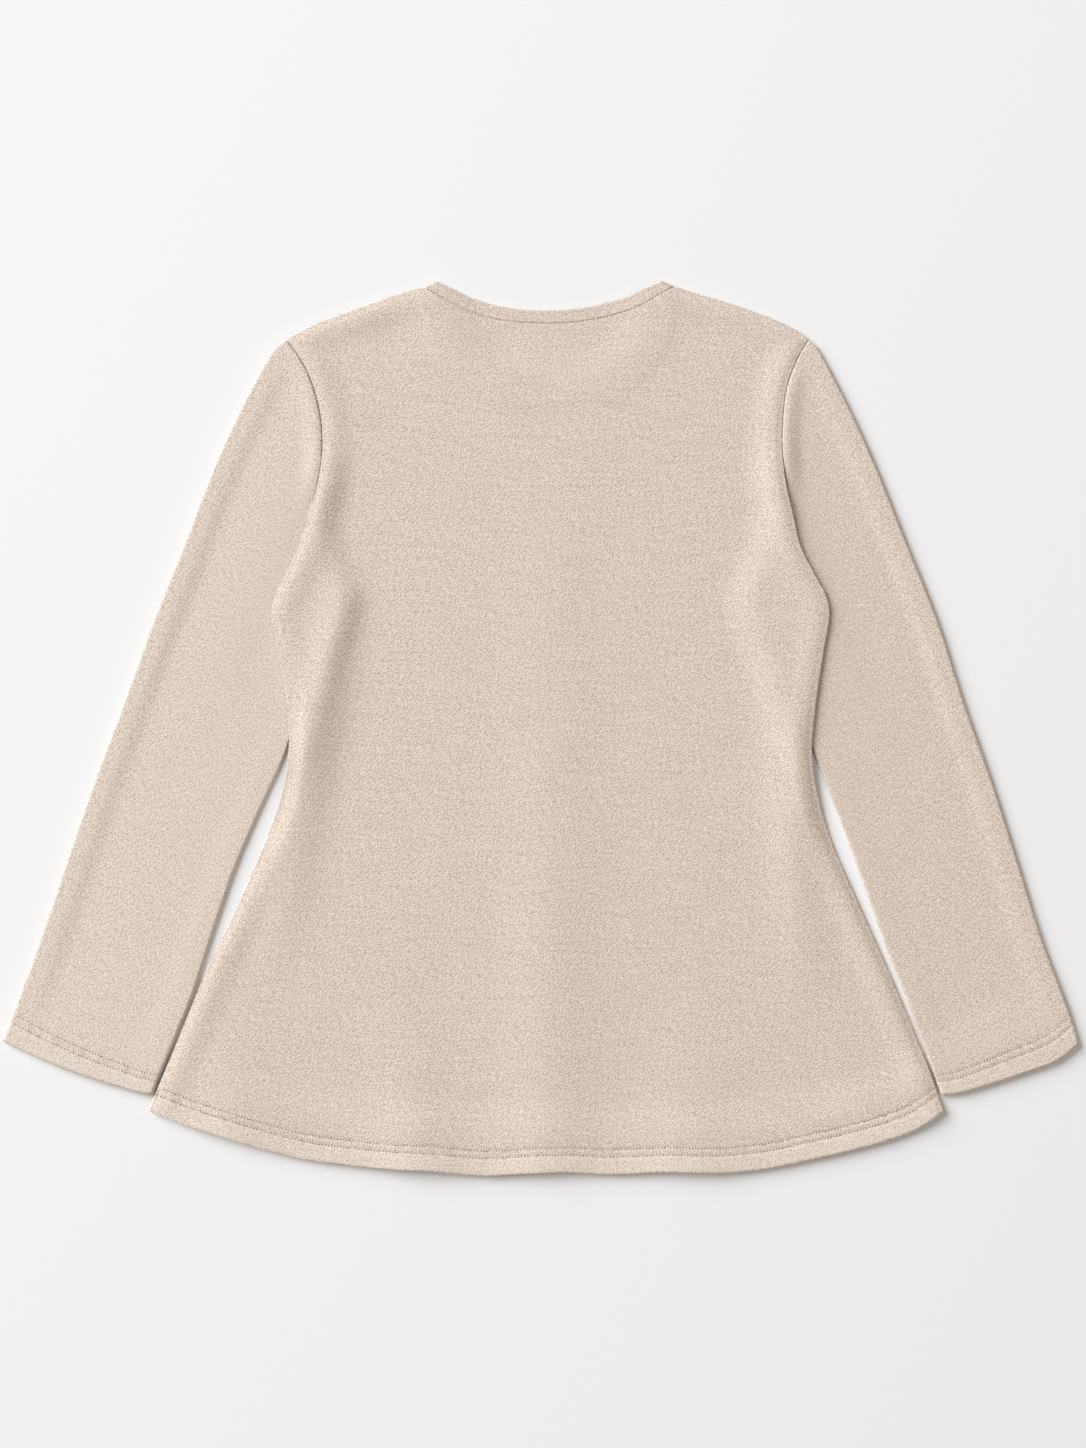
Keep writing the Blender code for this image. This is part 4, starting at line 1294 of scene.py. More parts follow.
class BodyPanels:
    """The back, and the two fronts under it."""

    def __init__(self, outline: Outline, sizes: BodySizes = BodySizes()) -> None:
        """Keeps what the panels are made from.

        Args:
            outline: The garment's edges.
            sizes: The panels' sizes.
        """
        self.outline = outline
        self.sizes = sizes
        self.cloth = (Grain(angle=sizes.nap), lambda places: outline.from_hem(places)[0])

    def edge_columns(self, width: np.ndarray, inner_share: float) -> np.ndarray:
        """Columns from a side edge in to the line under the neck point, fine beside the edge.

        Args:
            width: The panel's width at each row.
            inner_share: The share of the width at that line.

        Returns:
            A line of shares for each column.
        """
        edge = np.array(LINES.edge)[:, None] / width
        inner = graded(edge[-1][:, None], np.full((len(width), 1), inner_share), self.sizes.shoulder_lines)
        return np.vstack([edge, inner.T])

    def side_rows(self, side: Side) -> np.ndarray:
        """The fractions of a side edge at which the panels have their rows.

        Args:
            side: Which side.

        Returns:
            The fractions.
        """
        line = self.outline.body[side].line
        return grid_rows(np.linalg.norm(line[-1] - line[0]), LINES.edge, self.sizes.rows_between)[0]

    def neck_edge(self, seam: Curve, amount: float, ends: Sequence[np.ndarray]) -> Curve:
        """A panel's edge along the neckband's seam, just clear of it.

        Args:
            seam: The seam.
            amount: How far the edge is to its right.
            ends: The edge's first and last points.

        Returns:
            The edge.
        """
        line = offset_line(seam.line, amount)
        line[0], line[-1] = ends
        return Curve(line, smooth=False)

    def back_edges(self) -> tuple[Edge, float, float]:
        """The back's top edge.

        Returns:
            The edge, and the shares across it at which the neck starts and ends.
        """
        outline = self.outline
        left, right = outline.body[Side.LEFT], outline.body[Side.RIGHT]
        left_shoulder, right_shoulder = outline.shoulder[Side.LEFT], outline.shoulder[Side.RIGHT]
        notches = (left_shoulder.line[0], right_shoulder.line[0])
        span = right.line[0, 0] - left.line[0, 0]
        first, last = ((notch[0] - left.line[0, 0]) / span for notch in notches)
        neck = self.neck_edge(outline.back_seam, CLOTH.gap, notches)
        lines = (Curve(left_shoulder.line[::-1], smooth=False), neck, right_shoulder)
        return joined(lines, (0.0, first, last, 1.0)), first, last

    def back_place(self, u: np.ndarray, v: np.ndarray) -> np.ndarray:
        """Points of the back, a patch between its side edges, its top and its hem.

        Args:
            u: Shares across it.
            v: Shares down it.

        Returns:
            The points.
        """
        outline = self.outline
        top, _, _ = self.back_edges()
        return patch(outline.body[Side.LEFT].at, outline.body[Side.RIGHT].at, top, outline.hem.at, u, v)

    def front_place(self, side: Side, u: np.ndarray, v: np.ndarray) -> np.ndarray:
        """Points of a front, a patch between its side edge, the centre front, its top and its hem.

        Args:
            side: Which front.
            u: Shares from its side edge to the centre front.
            v: Shares down it.

        Returns:
            The points.
        """
        outline, sizes = self.outline, self.sizes
        seam = outline.front_seam[side]
        across = side.out * sizes.centre_gap / 2
        centre_top = np.array([across, seam.line[-1, 1] + CLOTH.gap])
        centre_hem = np.array([across, sizes.centre_hem])
        centre = Curve([centre_top, centre_hem], smooth=False)
        neck = self.neck_edge(seam, -side.out * CLOTH.gap, (outline.shoulder[side].line[0], centre_top))
        shoulder = Curve(outline.shoulder[side].line[::-1], smooth=False)
        top = joined((shoulder, neck), (0.0, sizes.front_shoulder_share, 1.0))
        steps = outline.hem.line[outline.hem.line[:, 0] * side.out > sizes.centre_gap]
        steps = steps if side is Side.LEFT else steps[::-1]
        hem = Curve(np.vstack([steps, centre_hem]), smooth=False)
        return patch(outline.body[side].at, centre.at, top, hem.at, u, v)

    def grid(self, place: Callable[..., np.ndarray], u: np.ndarray) -> np.ndarray:
        """A panel's grid.

        Args:
            place: The panel's points, from shares across and down.
            u: Its columns, a line of shares for each.

        Returns:
            The grid.
        """
        tops = place(u[:, 0], np.zeros(len(u)))
        hems = place(u[:, -1], np.ones(len(u)))
        rows = grid_rows(np.linalg.norm(hems - tops, axis=-1), LINES.edge, self.sizes.rows_between)
        return place(u, rows)

    def back_height(self, points: np.ndarray) -> np.ndarray:
        """The back's upper side, with its finest creases.

        Its surface, plus creases and unevenness that start inside the edges, less the grooves of
        the stitch rows, plus the pucker beside them.

        Args:
            points: A grid of points.

        Returns:
            The height at each.
        """
        outline = self.outline
        above, along = outline.from_hem(points)
        from_sides = np.minimum(*(Nearest(points, outline.sides[side]).distance for side in Side))
        inner = smooth_step(from_sides / self.sizes.creases_start)
        fine = fold_heights(BODY_CREASES, points) + UNEVENNESS.at(points)
        return outline.surface(points) + inner * fine - hem_grooves(above) + hem_pucker(above, along)

    def doubled(self, points: np.ndarray, starts: float) -> np.ndarray:
        """Where the hem is turned up.

        Args:
            points: A grid of points.
            starts: How far above the hem's edge the turned-up part ends.

        Returns:
            1 where it is, 0 above it, with a short ramp between.
        """
        above, _ = self.outline.from_hem(points)
        return np.clip((starts - above) / HEM.ramp, 0.0, 1.0)

    def build_back(self, material: bpy.types.Material) -> bpy.types.Object:
        """Makes the back.

        Args:
            material: The knit.

        Returns:
            The back.
        """
        outline, sizes = self.outline, self.sizes
        _, first, last = self.back_edges()
        fractions = self.side_rows(Side.LEFT)
        sides = outline.body[Side.RIGHT].at(fractions) - outline.body[Side.LEFT].at(fractions)
        width = np.linalg.norm(sides, axis=-1)
        neck = np.linspace(first, last, sizes.back_neck_lines + 1)[:, None] * np.ones(len(width))
        right = 1.0 - self.edge_columns(width, 1.0 - last)[::-1]
        plan = self.grid(self.back_place, np.vstack([self.edge_columns(width, first), neck, right]))
        top = self.back_height(plan)
        bottom = top - CLOTH.wall * (1.0 + self.doubled(plan, HEM.depth))
        return panel("back_cloth", plan, top, bottom, self.cloth).make(material)

    def build_front(self, side: Side, material: bpy.types.Material) -> bpy.types.Object:
        """Makes a front, flat on the surface but where the sleeve's folded end holds it up.

        Args:
            side: Which front.
            material: The knit.

        Returns:
            The front.
        """
        sizes = self.sizes
        fractions = self.side_rows(side)
        edge = self.outline.body[side].at(fractions)
        width = np.abs(edge[:, 0])
        neck = np.linspace(sizes.front_shoulder_share, 1.0, sizes.front_neck_lines + 1)
        neck = neck[:, None] * np.ones(len(width))
        u = np.vstack([self.edge_columns(width, sizes.front_shoulder_share), neck])
        plan = self.grid(lambda across, down: self.front_place(side, across, down), u)
        above, _ = self.outline.from_hem(plan)
        lift = self.outline.lift(plan)
        bottom = lift + hem_grooves(above)
        top = lift + CLOTH.wall * (1.0 + self.doubled(plan, HEM.depth + HEM.ramp))
        return panel(f"front_{side.value}_cloth", plan, top, bottom, self.cloth).make(material)


@dataclass(frozen=True)
class SleeveSizes:
    """Grid and heights of the sleeves, and their cut."""

    flat: tuple[float, float] = (0.350, 0.620)
    area: float = 0.172
    under: float = 3.2
    press_starts: float = 158.0
    press_rise: float = 20.0
    press_end: float = 50.0
    press_margin: float = 2.0
    press_width: float = 18.0
    roll_starts: float = 11.0
    roll_fall: float = 16.0
    seam_starts: float = 46.0
    seam_full: float = 100.0
    seam_ends: float = 120.0
    seam_gone: float = 182.0
    seam_rise: float = 0.8
    seam_crest: float = 3.5
    seam_fall: float = 13.0
    underarm_fold: float = 178.0
    top_lines: tuple[float, ...] = (0.0, 1.6, 3.4, 6.0, 9.5, 14.0, 20.0)
    edge_turns: tuple[float, ...] = (0.0, 15.0, 30.0, 45.0, 60.0, 75.0, 90.0)
    edge_lines: tuple[float, ...] = (4.5, 6.5, 8.6, 10.8, 13.1, 15.5, 18.0, 20.6, 23.3, 26.2, 29.4)
    middle_lines: int = 14
    rows_between: int = 110
    length_steps: int = 5
    hem_ends_over: float = 0.2
    relief_starts: float = 20.0
    nap_left: float = -66.0
    nap_right: float = -5.0


class Sleeve:
    """A sleeve: a tube pressed flat, open at the armhole and the cuff, with a turned-up hem inside."""

    def __init__(
        self, side: Side, outline: Outline, panels: BodyPanels, sizes: SleeveSizes = SleeveSizes()
    ) -> None:
        """Draws the sleeve's edges.

        Args:
            side: Which sleeve.
            outline: The garment's edges.
            panels: The body that it is sewn to.
            sizes: Its sizes.
        """
        self.side = side
        self.outline = outline
        self.sizes = sizes
        armhole = outline.body[side].at(panels.side_rows(side))
        armhole = armhole[armhole[:, 1] < sizes.underarm_fold]
        beside = offset_line(armhole, -side.out * CLOTH.gap)
        self.end = Curve(np.vstack([beside, columns(SLEEVE_END, side.value, "down")]), smooth=False)
        self.cuff = Curve(columns(CUFFS, f"{side.value}_across", f"{side.value}_down"))
        outer = columns(SLEEVE_OUTER, side.value, "down")
        self.outer = Curve(np.vstack([self.end.line[:1], outer, self.cuff.line[:1]]))
        self.inner = Curve(np.vstack([columns(SLEEVE_INNER, side.value, "down"), self.cuff.line[-1:]]))
        self.seam_downs = armhole[:, 1]
        self.seam_heights = outline.surface(armhole)
        self.shares = np.linspace(0.0, 1.0, sizes.length_steps)
        self.lengths = np.linalg.norm(self.cuff.at(self.shares) - self.end.at(self.shares), axis=-1)

    def place(self, u: np.ndarray, v: np.ndarray) -> np.ndarray:
        """Points of the sleeve, a patch between its armhole, its cuff and its two folded edges.

        Args:
            u: Shares from the outer edge to the underarm fold.
            v: Shares down it.

        Returns:
            The points.
        """
        return patch(self.end.at, self.cuff.at, self.outer.at, self.inner.at, v, u)

    def crown(self, plan: np.ndarray, from_outer: Any, from_inner: Any, along: Any) -> np.ndarray:
        """The height of the flattened sleeve, before its edges are rounded.

        Its own height across and along, blended to the pressed height beside and under the body,
        and to a ridge beside the armhole's seam, whichever of the two is higher.

        Args:
            plan: A grid of points.
            from_outer: How far they are from the outer edge.
            from_inner: How far they are from the underarm fold.
            along: Their shares of its length.

        Returns:
            The height at each.
        """
        sizes = self.sizes
        crowns = columns(SLEEVE_CROWNS, "along", "outer", "middle", "inner").T
        outer, middle, inner = (np.interp(along, crowns[0], height) for height in crowns[1:])
        near_outer = 1.0 - smooth_step((from_outer - sizes.roll_starts) / sizes.roll_fall)
        near_inner = 1.0 - smooth_step((from_inner - sizes.roll_starts) / sizes.roll_fall)
        free = middle + (outer - middle) * near_outer + (inner - middle) * near_inner
        near = Nearest(plan, self.outline.body[self.side].line)
        outside = -self.side.out * near.turn * near.distance
        down = plan[..., 1]
        beside = smooth_step((down - sizes.press_starts) / sizes.press_rise)
        beside *= 1.0 - smooth_step((down - LAYING.lift_ends) / sizes.press_end)
        pressed = beside * (1.0 - smooth_step((outside - sizes.press_margin) / sizes.press_width))
        pressed_down = blend(free, sizes.under, pressed)
        at_seam = smooth_step((down - sizes.seam_starts) / (sizes.seam_full - sizes.seam_starts))
        at_seam *= 1.0 - smooth_step((down - sizes.seam_ends) / (sizes.seam_gone - sizes.seam_ends))
        at_seam *= (outside > 0.0) * (1.0 - smooth_step((outside - sizes.seam_crest) / sizes.seam_fall))
        seam_height = np.interp(near.down, self.seam_downs, self.seam_heights)
        seam_height = seam_height + sizes.seam_rise * smooth_step(outside / sizes.seam_crest)
        return np.maximum(pressed_down, blend(pressed_down, seam_height, at_seam))

    @staticmethod
    def half_height(crown: np.ndarray, from_edge: np.ndarray, walls: Any) -> np.ndarray:
        """Half the height of the sleeve's section, which ends in a half ellipse at each edge.

        Args:
            crown: The height of its outer skin.
            from_edge: How far the points are from the nearer edge, as a share of half its height.
            walls: How far the section lies inside the outer skin.

        Returns:
            The half height at each point.
        """
        roundness = np.clip((1.0 - from_edge) / (1.0 - walls / (crown / 2)), 0.0, 1.0)
        return (crown / 2 - walls) * np.sqrt(1.0 - roundness**2)

    def relief(self, plan: np.ndarray, above: Any, distance: Any, width: Any) -> np.ndarray:
        """The cloth's unevenness and the hem's pucker, which fade towards the edges.

        Args:
            plan: A grid of points.
            above: How far above the cuff's edge they are.
            distance: How far they are from the outer edge.
            width: The sleeve's width there.

        Returns:
            The height at each.
        """
        inner = smooth_step(np.minimum(distance, width - distance) / self.sizes.relief_starts)
        return inner * (UNEVENNESS.at(plan) + hem_pucker(above, distance))

    def build(self, material: bpy.types.Material) -> bpy.types.Object:
        """Makes the sleeve: an outer skin and a lining, joined at the armhole and at the cuff.

        Args:
            material: The knit.

        Returns:
            The sleeve.
        """
        sizes = self.sizes
        levels = grid_rows(self.lengths.mean(), sizes.top_lines, sizes.rows_between)[0]
        width = np.linalg.norm(self.inner.at(levels) - self.outer.at(levels), axis=-1)
        outer_height = self.crown(self.outer.at(levels), 0.0, width, levels)
        inner_height = self.crown(self.inner.at(levels), width, 0.0, levels)
        in_hem = levels > 1.0 - (HEM.depth + sizes.hem_ends_over) / self.lengths.mean()
        nap = sizes.nap_left if self.side is Side.LEFT else sizes.nap_right
        mesh = Mesh(f"sleeve_{self.side.value}_cloth", Grain(angle=nap), lambda places: places[:, 1])

        def tube(walls: np.ndarray, grooved: float) -> np.ndarray:
            """Adds the points of one skin, all round the sleeve.

            Args:
                walls: How far inside the outer skin it lies, at each level.
                grooved: 1 where the stitch rows draw it in, or 0.

            Returns:
                Their numbers, once round and back to the first line.
            """
            turns = np.radians(sizes.edge_turns)[:, None]
            outer_steps = outer_height / 2 - (outer_height / 2 - walls) * np.cos(turns)
            inner_steps = inner_height / 2 - (inner_height / 2 - walls) * np.cos(turns)
            fixed = np.array(sizes.edge_lines)[:, None] * np.ones(len(levels))
            near = np.vstack([outer_steps, fixed])
            far = width - np.vstack([inner_steps, fixed])[::-1]
            between = graded(near[-1][:, None], far[0][:, None], sizes.middle_lines).T
            distance = np.vstack([near, between, far])
            u = distance / width
            lengths = np.interp(u.mean(axis=1), self.shares, self.lengths)
            v = grid_rows(lengths, sizes.top_lines, sizes.rows_between)
            plan = self.place(u, v)
            crown = self.crown(plan, distance, width - distance, v)
            from_edge = np.minimum(distance / (outer_height / 2), (width - distance) / (inner_height / 2))
            half = self.half_height(crown, from_edge, walls)
            above = (1.0 - v) * self.lengths.mean()
            groove = grooved * hem_grooves(above)
            relief = self.relief(plan, above, distance, width)
            cloth = np.stack([distance, above], axis=-1)
            under_cloth = np.stack([2 * width - distance, above], axis=-1)
            upper = mesh.add(plan, crown / 2 + half - groove + relief, cloth)
            lower = mesh.add(plan[1:-1], (crown / 2 - half + groove)[1:-1], under_cloth[1:-1])
            return np.vstack([upper, lower[::-1], upper[:1]])

        skin = tube(np.zeros(len(levels)), 1.0)
        lining = tube(np.where(in_hem, 2 * CLOTH.wall, CLOTH.wall), 0.0)
        mesh.skin(skin)
        mesh.skin(lining[::-1])
        mesh.skin(np.stack([lining[:, 0], skin[:, 0]], axis=1))
        mesh.skin(np.stack([skin[:, -1], lining[:, -1]], axis=1))
        return mesh.make(material)


@dataclass(frozen=True)
class BandSizes:
    """Grid of the neckband, and its cut."""

    flat: tuple[float, float] = (0.0105, 0.520)
    area: float = 0.0052
    widths: tuple[float, ...] = (0.0, 0.02, 0.06, 0.12, 0.22, 0.36, 0.5, 0.64, 0.78, 0.88, 0.94, 0.98, 1.0)
    edge: float = 0.9
    least: float = 0.22
    back_lines: int = 150
    front_lines: int = 60
    fold_lines: int = 12


class Station(NamedTuple):
    """A line across the neckband: its ends, their heights, and which way its outer side faces."""

    seam: np.ndarray
    free: np.ndarray
    seam_height: float
    free_height: float
    outward: np.ndarray


class Neckband:
    """The neckband: a strip round the back neck, folded under at the shoulders and down both fronts."""

    def __init__(self, outline: Outline, sizes: BandSizes = BandSizes()) -> None:
        """Keeps what the band is made from.

        Args:
            outline: The garment's edges.
            sizes: Its sizes.
        """
        self.outline = outline
        self.sizes = sizes

    def back(self, shares: np.ndarray) -> list[Station]:
        """The stretch round the back neck.

        Args:
            shares: Fractions of its length.

        Returns:
            Its stations.
        """
        seam, free = self.outline.back_seam.at(shares), self.outline.back_free.at(shares)
        rest = CLOTH.gap + CLOTH.band / 2
        seam_height = self.outline.support(seam) + rest
        free_height = self.outline.support(free) + rest
        up = np.array([0.0, 0.0, 1.0])
        return [Station(*parts, up) for parts in zip(seam, free, seam_height, free_height)]

    def front(self, side: Side, shares: np.ndarray) -> list[Station]:
        """The stretch down a front.

        Args:
            side: Which front.
            shares: Fractions of its length.

        Returns:
            Its stations.
        """
        seam, free = self.outline.front_seam[side].at(shares), self.outline.front_free[side].at(shares)
        under = np.array([0.0, 0.0, -1.0])
        half = CLOTH.band / 2
        return [Station(one, other, half, half, under) for one, other in zip(seam, free)]

    def fold(self, side: Side) -> list[Station]:
        """The half turn under at a shoulder.

        Args:
            side: Which shoulder.

        Returns:
            Its stations, from the top down.
        """
        seam, free = self.outline.front_seam[side].at(0.0), self.outline.front_free[side].at(0.0)
        along = (free - seam) / np.linalg.norm(free - seam)
        away = np.array([along[1], -along[0]]) * -side.out
        radius = (CLOTH.band + CLOTH.gap) / 2
        stations = []
        for turn in np.linspace(0.0, math.pi, self.sizes.fold_lines + 2)[1:-1]:
            reach = away * radius * math.sin(turn)
            height = CLOTH.band / 2 + radius * (1.0 + math.cos(turn))
            outward = np.array([*(away * math.sin(turn)), math.cos(turn)])
            stations.append(Station(seam + reach, free + reach, height, height, outward))
        return stations

    def build(self, material: bpy.types.Material) -> bpy.types.Object:
        """Makes the neckband.

        Args:
            material: The knit.

        Returns:
            The neckband.
        """
        sizes = self.sizes
        down = np.linspace(0.0, 1.0, sizes.front_lines)
        stations = [
            *self.front(Side.LEFT, down[::-1]),
            *self.fold(Side.LEFT)[::-1],
            *self.back(np.linspace(0.0, 1.0, sizes.back_lines)),
            *self.fold(Side.RIGHT),
            *self.front(Side.RIGHT, down),
        ]
        seam = np.array([[*one.seam, one.seam_height] for one in stations])
        free = np.array([[*one.free, one.free_height] for one in stations])
        outward = np.array([one.outward for one in stations])
        lengths = np.linalg.norm(free - seam, axis=1)
        share = np.array(sizes.widths)
        width = lengths.mean()
        from_edge = np.clip(np.minimum(share, 1.0 - share) * width / sizes.edge, 0.0, 1.0)
        half = CLOTH.band / 2 * np.maximum(sizes.least, np.sqrt(1.0 - (1.0 - from_edge) ** 2))
        line = blend(seam[:, None], free[:, None], share[:, None])
        steps = np.linalg.norm(np.diff((seam + free) / 2, axis=0), axis=1)
        along = np.concatenate([[0.0], np.cumsum(steps)])[:, None] * np.ones(len(share))
        mesh = Mesh("neckband_cloth")
        rings = []
        for sign in (1.0, -1.0):
            points = line + sign * half[:, None] * outward[:, None]
            cloth = np.stack([along, sign * share * width * np.ones((len(seam), 1))], axis=-1)
            rings.append(mesh.add(points[..., :2], points[..., 2], cloth))
        upper, lower = rings
        mesh.skin(np.hstack([upper, lower[:, ::-1], upper[:, :1]]))
        mesh.skin(np.stack([lower[0], upper[0]]))
        mesh.skin(np.stack([upper[-1], lower[-1]]))
        return mesh.make(material)


@dataclass(frozen=True)
class StitchSizes:
    """The thread's stitches, the painted shade in the needle's holes between them, and how far from its
    ends a row stops.
    """

    pitch: float = 2.4
    length: float = 1.7
    thick: float = 0.5
    hole_length: float = 0.85
    hole_width: float = 0.9
    sunk: float = 0.12
    direction_over: float = 0.25
    sides: int = 6
    ring_places: tuple[float, ...] = (-0.5, -0.32, 0.32, 0.5)
    ring_sizes: tuple[float, ...] = (0.45, 1.0, 1.0, 0.45)
    row_points: int = 400
    hem_margin: float = 0.004
    cuff_margin: float = 0.02
    neck_margin: float = 0.012
    front_neck_margin: float = 0.02


class Stitches:
    """Rows of stitches, as short threads with a hole between each and the next, its shade painted as a dark
    bead.
    """

    # The corners of the two faces that close a bead at each end, where it has six sides
    FIRST_END = (0, 5, 2, 1, 5, 4, 3, 2)
    LAST_END = (0, 1, 2, 5, 2, 3, 4, 5)

    def __init__(self, sizes: StitchSizes = StitchSizes()) -> None:
        """Keeps the sizes.

        Args:
            sizes: The stitches' sizes.
        """
        self.sizes = sizes
        self.places: list[np.ndarray] = []
        self.ways: list[np.ndarray] = []

    def row(self, line: np.ndarray) -> None:
        """Adds a row.

        Args:
            line: The points that it follows, across, down and up.
        """
        curve = Curve(line, smooth=False)
        count = int(curve.length / self.sizes.pitch)
        shares = (np.arange(count) + 0.5) / count
        step = self.sizes.direction_over / count
        ways = curve.at(shares + step) - curve.at(shares - step)
        self.places.append(curve.at(shares))
        self.ways.append(ways / np.linalg.norm(ways, axis=1)[:, None])

    def bead(self, length: float, width: float, height: float) -> np.ndarray:
        """A small rounded bead along the first axis: four rings, the end ones smaller.

        Args:
            length: Its length.
            width: Its width.
            height: Its height.

        Returns:
            Its rings of points.
        """
        turns = np.arange(self.sizes.sides) * 2 * math.pi / self.sizes.sides
        along = np.array(self.sizes.ring_places)[:, None]
        round_off = np.array(self.sizes.ring_sizes)[:, None]
        beside = round_off * np.cos(turns) * width / 2
        up = round_off * np.sin(turns) * height / 2
        return np.stack([along * length * np.ones(len(turns)), beside, up], axis=-1)

    def build(
        self, name: str, shift: float, bead: np.ndarray, material: bpy.types.Material
    ) -> bpy.types.Object:
        """Makes one bead at each stitch.

        Args:
            name: The piece's name.
            shift: How far along the row the beads are moved.
            bead: The bead.
            material: Its material.

        Returns:
            The piece.
        """
        places = np.concatenate(self.places)
        ways = np.concatenate(self.ways)
        beside = np.stack([-ways[:, 1], ways[:, 0], 0 * ways[:, 0]], axis=1)
        beside /= np.linalg.norm(beside, axis=1)[:, None]
        up = np.cross(ways, beside)
        axes = np.stack([ways, beside, up], axis=1)
        centres = places + shift * ways
        points = centres[:, None, None] + np.einsum("rsk,nkd->nrsd", bead, axes)
        mesh = Mesh(name)
        numbers = mesh.add(points[..., :2], points[..., 2])
        around = np.concatenate([numbers, numbers[:, :, :1]], axis=2)
        corners = (around[:, :-1, :-1], around[:, :-1, 1:], around[:, 1:, 1:], around[:, 1:, :-1])
        mesh.faces.append(np.stack(corners, axis=-1).reshape(-1, 4))
        mesh.faces.append(numbers[:, 0, self.FIRST_END].reshape(-1, 4))
        mesh.faces.append(numbers[:, -1, self.LAST_END].reshape(-1, 4))
        return mesh.make(material)

    def threads(self, name: str, material: bpy.types.Material) -> bpy.types.Object:
        """Makes the threads.

        Args:
            name: The piece's name.
            material: The thread.

        Returns:
            The piece.
        """
        sizes = self.sizes
        return self.build(name, 0.0, self.bead(sizes.length, sizes.thick, sizes.thick), material)

    def hole_shades(self, name: str, material: bpy.types.Material) -> bpy.types.Object:
        """Makes a dark bead in each needle hole: painted shade, where shade falls into the hole.

        Args:
            name: The piece's name.
            material: The hole's shade.

        Returns:
            The piece.
        """
        sizes = self.sizes
        bead = self.bead(sizes.hole_length, sizes.hole_width, sizes.thick)
        return self.build(name, sizes.pitch / 2, bead, material)


class Sewing:
    """The rows of stitches on the hems and round the neckband."""

    def __init__(self, outline: Outline, panels: BodyPanels, sleeves: Sequence[Sleeve]) -> None:
        """Keeps what is sewn.

        Args:
            outline: The garment's edges.
            panels: The body.
            sleeves: The sleeves.
        """
        self.outline = outline
        self.panels = panels
        self.sleeves = sleeves
        self.sizes = StitchSizes()

    def across(self, margin: float) -> np.ndarray:
        """Shares across a piece, clear of its edges.

        Args:
            margin: The share left out at each edge.

        Returns:
            The shares.
        """
        return np.linspace(margin, 1.0 - margin, self.sizes.row_points)

    def hem_line(self, place: Callable[..., np.ndarray], above: float) -> np.ndarray:
        """A line across a body panel at a distance above its hem.

        Args:
            place: The panel's points, from shares across and down.
            above: The distance.

        Returns:
            The line in plan.
        """
        u = self.across(self.sizes.hem_margin)
        length = np.linalg.norm(place(u, np.ones(len(u))) - place(u, np.zeros(len(u))), axis=-1)
        return place(u, 1.0 - above / length)

    def back_hem(self) -> Stitches:
        """The rows on the back's hem.

        Returns:
            The stitches.
        """
        stitches = Stitches(self.sizes)
        for above in HEM.rows:
            plan = self.hem_line(self.panels.back_place, above)
            height = self.panels.back_height(plan) + self.sizes.sunk
            stitches.row(np.column_stack([plan, height]))
        return stitches

    def front_hem(self, side: Side) -> Stitches:
        """The rows on a front's hem, on its outer side, which lies on the surface.

        Args:
            side: Which front.

        Returns:
            The stitches.
        """
        stitches = Stitches(self.sizes)
        for above in HEM.rows:
            plan = self.hem_line(lambda u, v: self.panels.front_place(side, u, v), above)
            stitches.row(np.column_stack([plan, np.full(len(plan), self.sizes.thick / 2)]))
        return stitches

    def cuff(self, sleeve: Sleeve) -> Stitches:
        """The rows round a cuff.

        Args:
            sleeve: The sleeve.

        Returns:
            The stitches.
        """
        stitches = Stitches(self.sizes)
        u = self.across(self.sizes.cuff_margin)
        mean = sleeve.lengths.mean()
        for above in HEM.rows:
            v = np.full(len(u), 1.0 - above / mean)
            plan = sleeve.place(u, v)
            width = np.linalg.norm(sleeve.inner.at(v) - sleeve.outer.at(v), axis=-1)
            distance = u * width
            crown = sleeve.crown(plan, distance, width - distance, v)
            ends = sleeve.crown(sleeve.outer.at(v), 0.0, width, v)
            from_edge = np.minimum(distance, width - distance) / (ends / 2)
            half = sleeve.half_height(crown, from_edge, 0.0)
            relief = sleeve.relief(plan, above, distance, width)
            top = crown / 2 + half + relief - HEM.groove + self.sizes.sunk
            stitches.row(np.column_stack([plan, top]))
            bottom = np.maximum(crown / 2 - half + HEM.groove - self.sizes.sunk, self.sizes.thick / 2)
            stitches.row(np.column_stack([plan, bottom]))
        return stitches

    def neck(self) -> Stitches:
        """The row along the neckband's seam.

        Returns:
            The stitches.
        """
        stitches = Stitches(self.sizes)
        seam = self.outline.back_seam.at(self.across(self.sizes.neck_margin))
        height = self.outline.support(seam) + CLOTH.gap + CLOTH.wall - self.sizes.thick / 2
        stitches.row(np.column_stack([seam, height]))
        for side in Side:
            seam = self.outline.front_seam[side].at(self.across(self.sizes.front_neck_margin))
            stitches.row(np.column_stack([seam, np.full(len(seam), self.sizes.thick)]))
        return stitches


@dataclass(frozen=True)
class Lamp:
    """A round lamp that faces the middle of the floor. Lengths are in metres."""

    name: str
    place: tuple[float, float, float]
    size: float
    power: float
    colour: tuple[float, float, float]

    def build(self) -> None:
        """Makes the lamp."""
        lamp = bpy.data.lights.new(self.name, "AREA")
        lamp.shape = "DISK"
        lamp.size = self.size
        lamp.energy = self.power
        lamp.color = self.colour
        light = bpy.data.objects.new(self.name, lamp)
        light.location = self.place
        light.rotation_euler = (-light.location).to_track_quat("-Z", "Y").to_euler()
        bpy.context.collection.objects.link(light)


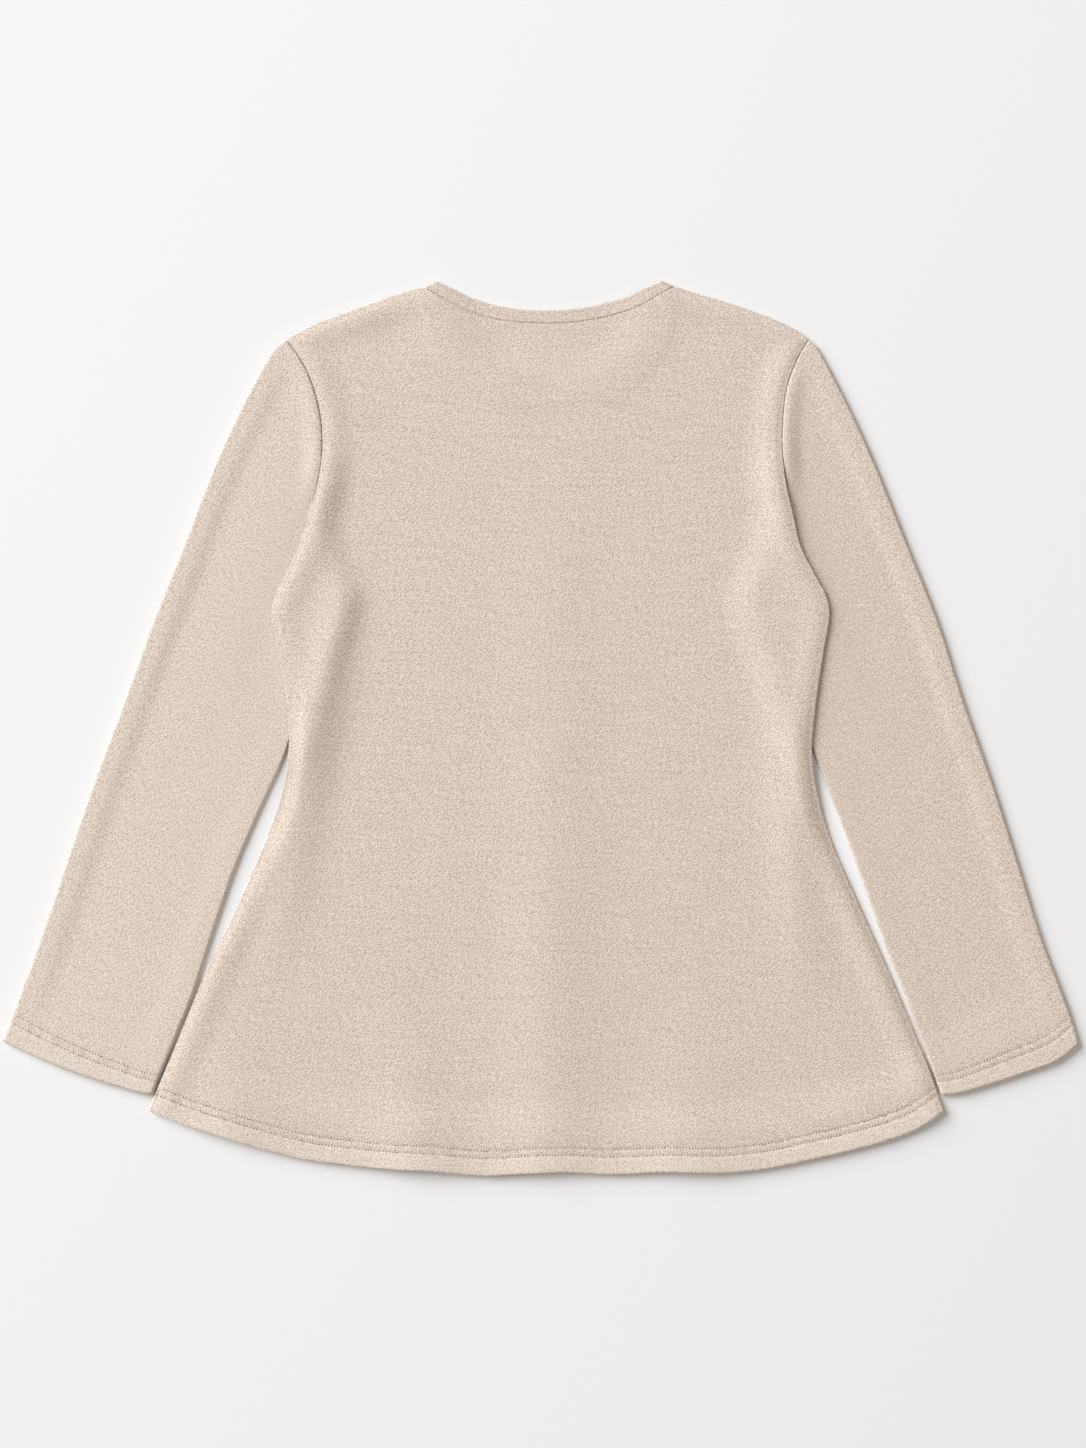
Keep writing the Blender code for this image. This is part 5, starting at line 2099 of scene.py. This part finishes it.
@dataclass(frozen=True)
class Studio:
    """The floor, the light and the camera. Lengths are in metres."""

    floor_colour: Colour = (0.905, 0.893, 0.887, 1.0)
    floor_roughness: float = 0.8
    floor_side: float = 30.0
    key: Lamp = Lamp("key", (-8.6, 5.4, 6.4), 10.0, 2075.0, (0.965, 0.995, 1.02))
    fill: Lamp = Lamp("fill", (5.5, -4.5, 7.0), 5.0, 170.0, (1.0, 0.95, 0.89))
    world_colour: Colour = (1.0, 0.965, 0.93, 1.0)
    world_strength: float = 0.220
    lens: float = 85.0
    sensor: float = 36.0
    sees_as_far_as: float = 50.0
    view_height: float = 1.12944
    aim: tuple[float, float] = (0.0019, 0.0032)

    def build(self) -> None:
        """Makes the floor, the lamps, the light from all round and the camera."""
        self.lay_floor()
        self.key.build()
        self.fill.build()
        self.light_room()
        self.place_camera()

    def lay_floor(self) -> None:
        """Makes the floor, one square at height 0."""
        side = self.floor_side / 2
        mesh = bpy.data.meshes.new("floor")
        corners = [(-side, -side, 0.0), (side, -side, 0.0), (side, side, 0.0), (-side, side, 0.0)]
        mesh.from_pydata(corners, [], [(0, 1, 2, 3)])
        mesh.materials.append(Plain("pale_floor", self.floor_colour, self.floor_roughness).material())
        floor = bpy.data.objects.new("floor", mesh)
        bpy.context.collection.objects.link(floor)

    def light_room(self) -> None:
        """Makes the soft light that comes from all round."""
        world = bpy.data.worlds.new("studio")
        world.use_nodes = True
        background = world.node_tree.nodes["Background"]
        background.inputs["Color"].default_value = self.world_colour
        background.inputs["Strength"].default_value = self.world_strength
        bpy.context.scene.world = world

    def place_camera(self) -> None:
        """Makes the camera, straight above and as high as its lens needs for the view."""
        lens = bpy.data.cameras.new("camera")
        lens.lens = self.lens
        lens.sensor_width = self.sensor
        lens.clip_end = self.sees_as_far_as
        camera = bpy.data.objects.new("camera", lens)
        camera.location = (*self.aim, self.view_height * self.lens / self.sensor)
        bpy.context.collection.objects.link(camera)
        bpy.context.scene.camera = camera
        bpy.context.scene.view_settings.view_transform = "Standard"


def main() -> None:
    """Builds the cardigan piece by piece, and the studio round it."""
    logging.basicConfig(level=logging.INFO, format="%(message)s")
    LOG.info("nodes: %s", ", ".join(str(node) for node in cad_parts))
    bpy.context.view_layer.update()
    outline = Outline()
    panels = BodyPanels(outline)
    sleeves = [Sleeve(side, outline, panels) for side in Side]
    band = Neckband(outline)
    sewing = Sewing(outline, panels, sleeves)
    knit = KNIT.material()
    painted_light_knit = PAINTED_LIGHT_KNIT.material()
    thread = THREAD.material()
    # The painted shade that is put into the needle holes.
    hole = NEEDLE_HOLE_SHADE.material()

    def sewn(name: str, stitches: Stitches) -> list[bpy.types.Object]:
        """Makes the threads of some rows, and dark beads of painted shade in their needle holes.

        Args:
            name: The name of the seam.
            stitches: Its rows.

        Returns:
            The two pieces.
        """
        return [stitches.threads(f"{name}_threads", thread), stitches.hole_shades(f"{name}_holes", hole)]

    back = panels.build_back(knit)
    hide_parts("back")
    with_back = sewn("back_hem", sewing.back_hem())
    for side, sleeve in zip(Side, sleeves):
        front = panels.build_front(side, knit)
        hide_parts(f"front_{side.value}")
        with_front = sewn(f"front_{side.value}_hem", sewing.front_hem(side))
        # The left sleeve takes the lit copy of the knit: painted light, lighter as if its nap caught the
        # lamp.
        tube = sleeve.build(painted_light_knit if side is Side.LEFT else knit)
        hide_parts(f"sleeve_{side.value}")
        with_sleeve = sewn(f"cuff_{side.value}", sewing.cuff(sleeve))
    strip = band.build(knit)
    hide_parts("neckband")
    with_band = sewn("neck", sewing.neck())
    Studio().build()


if __name__ == "__main__":
    main()
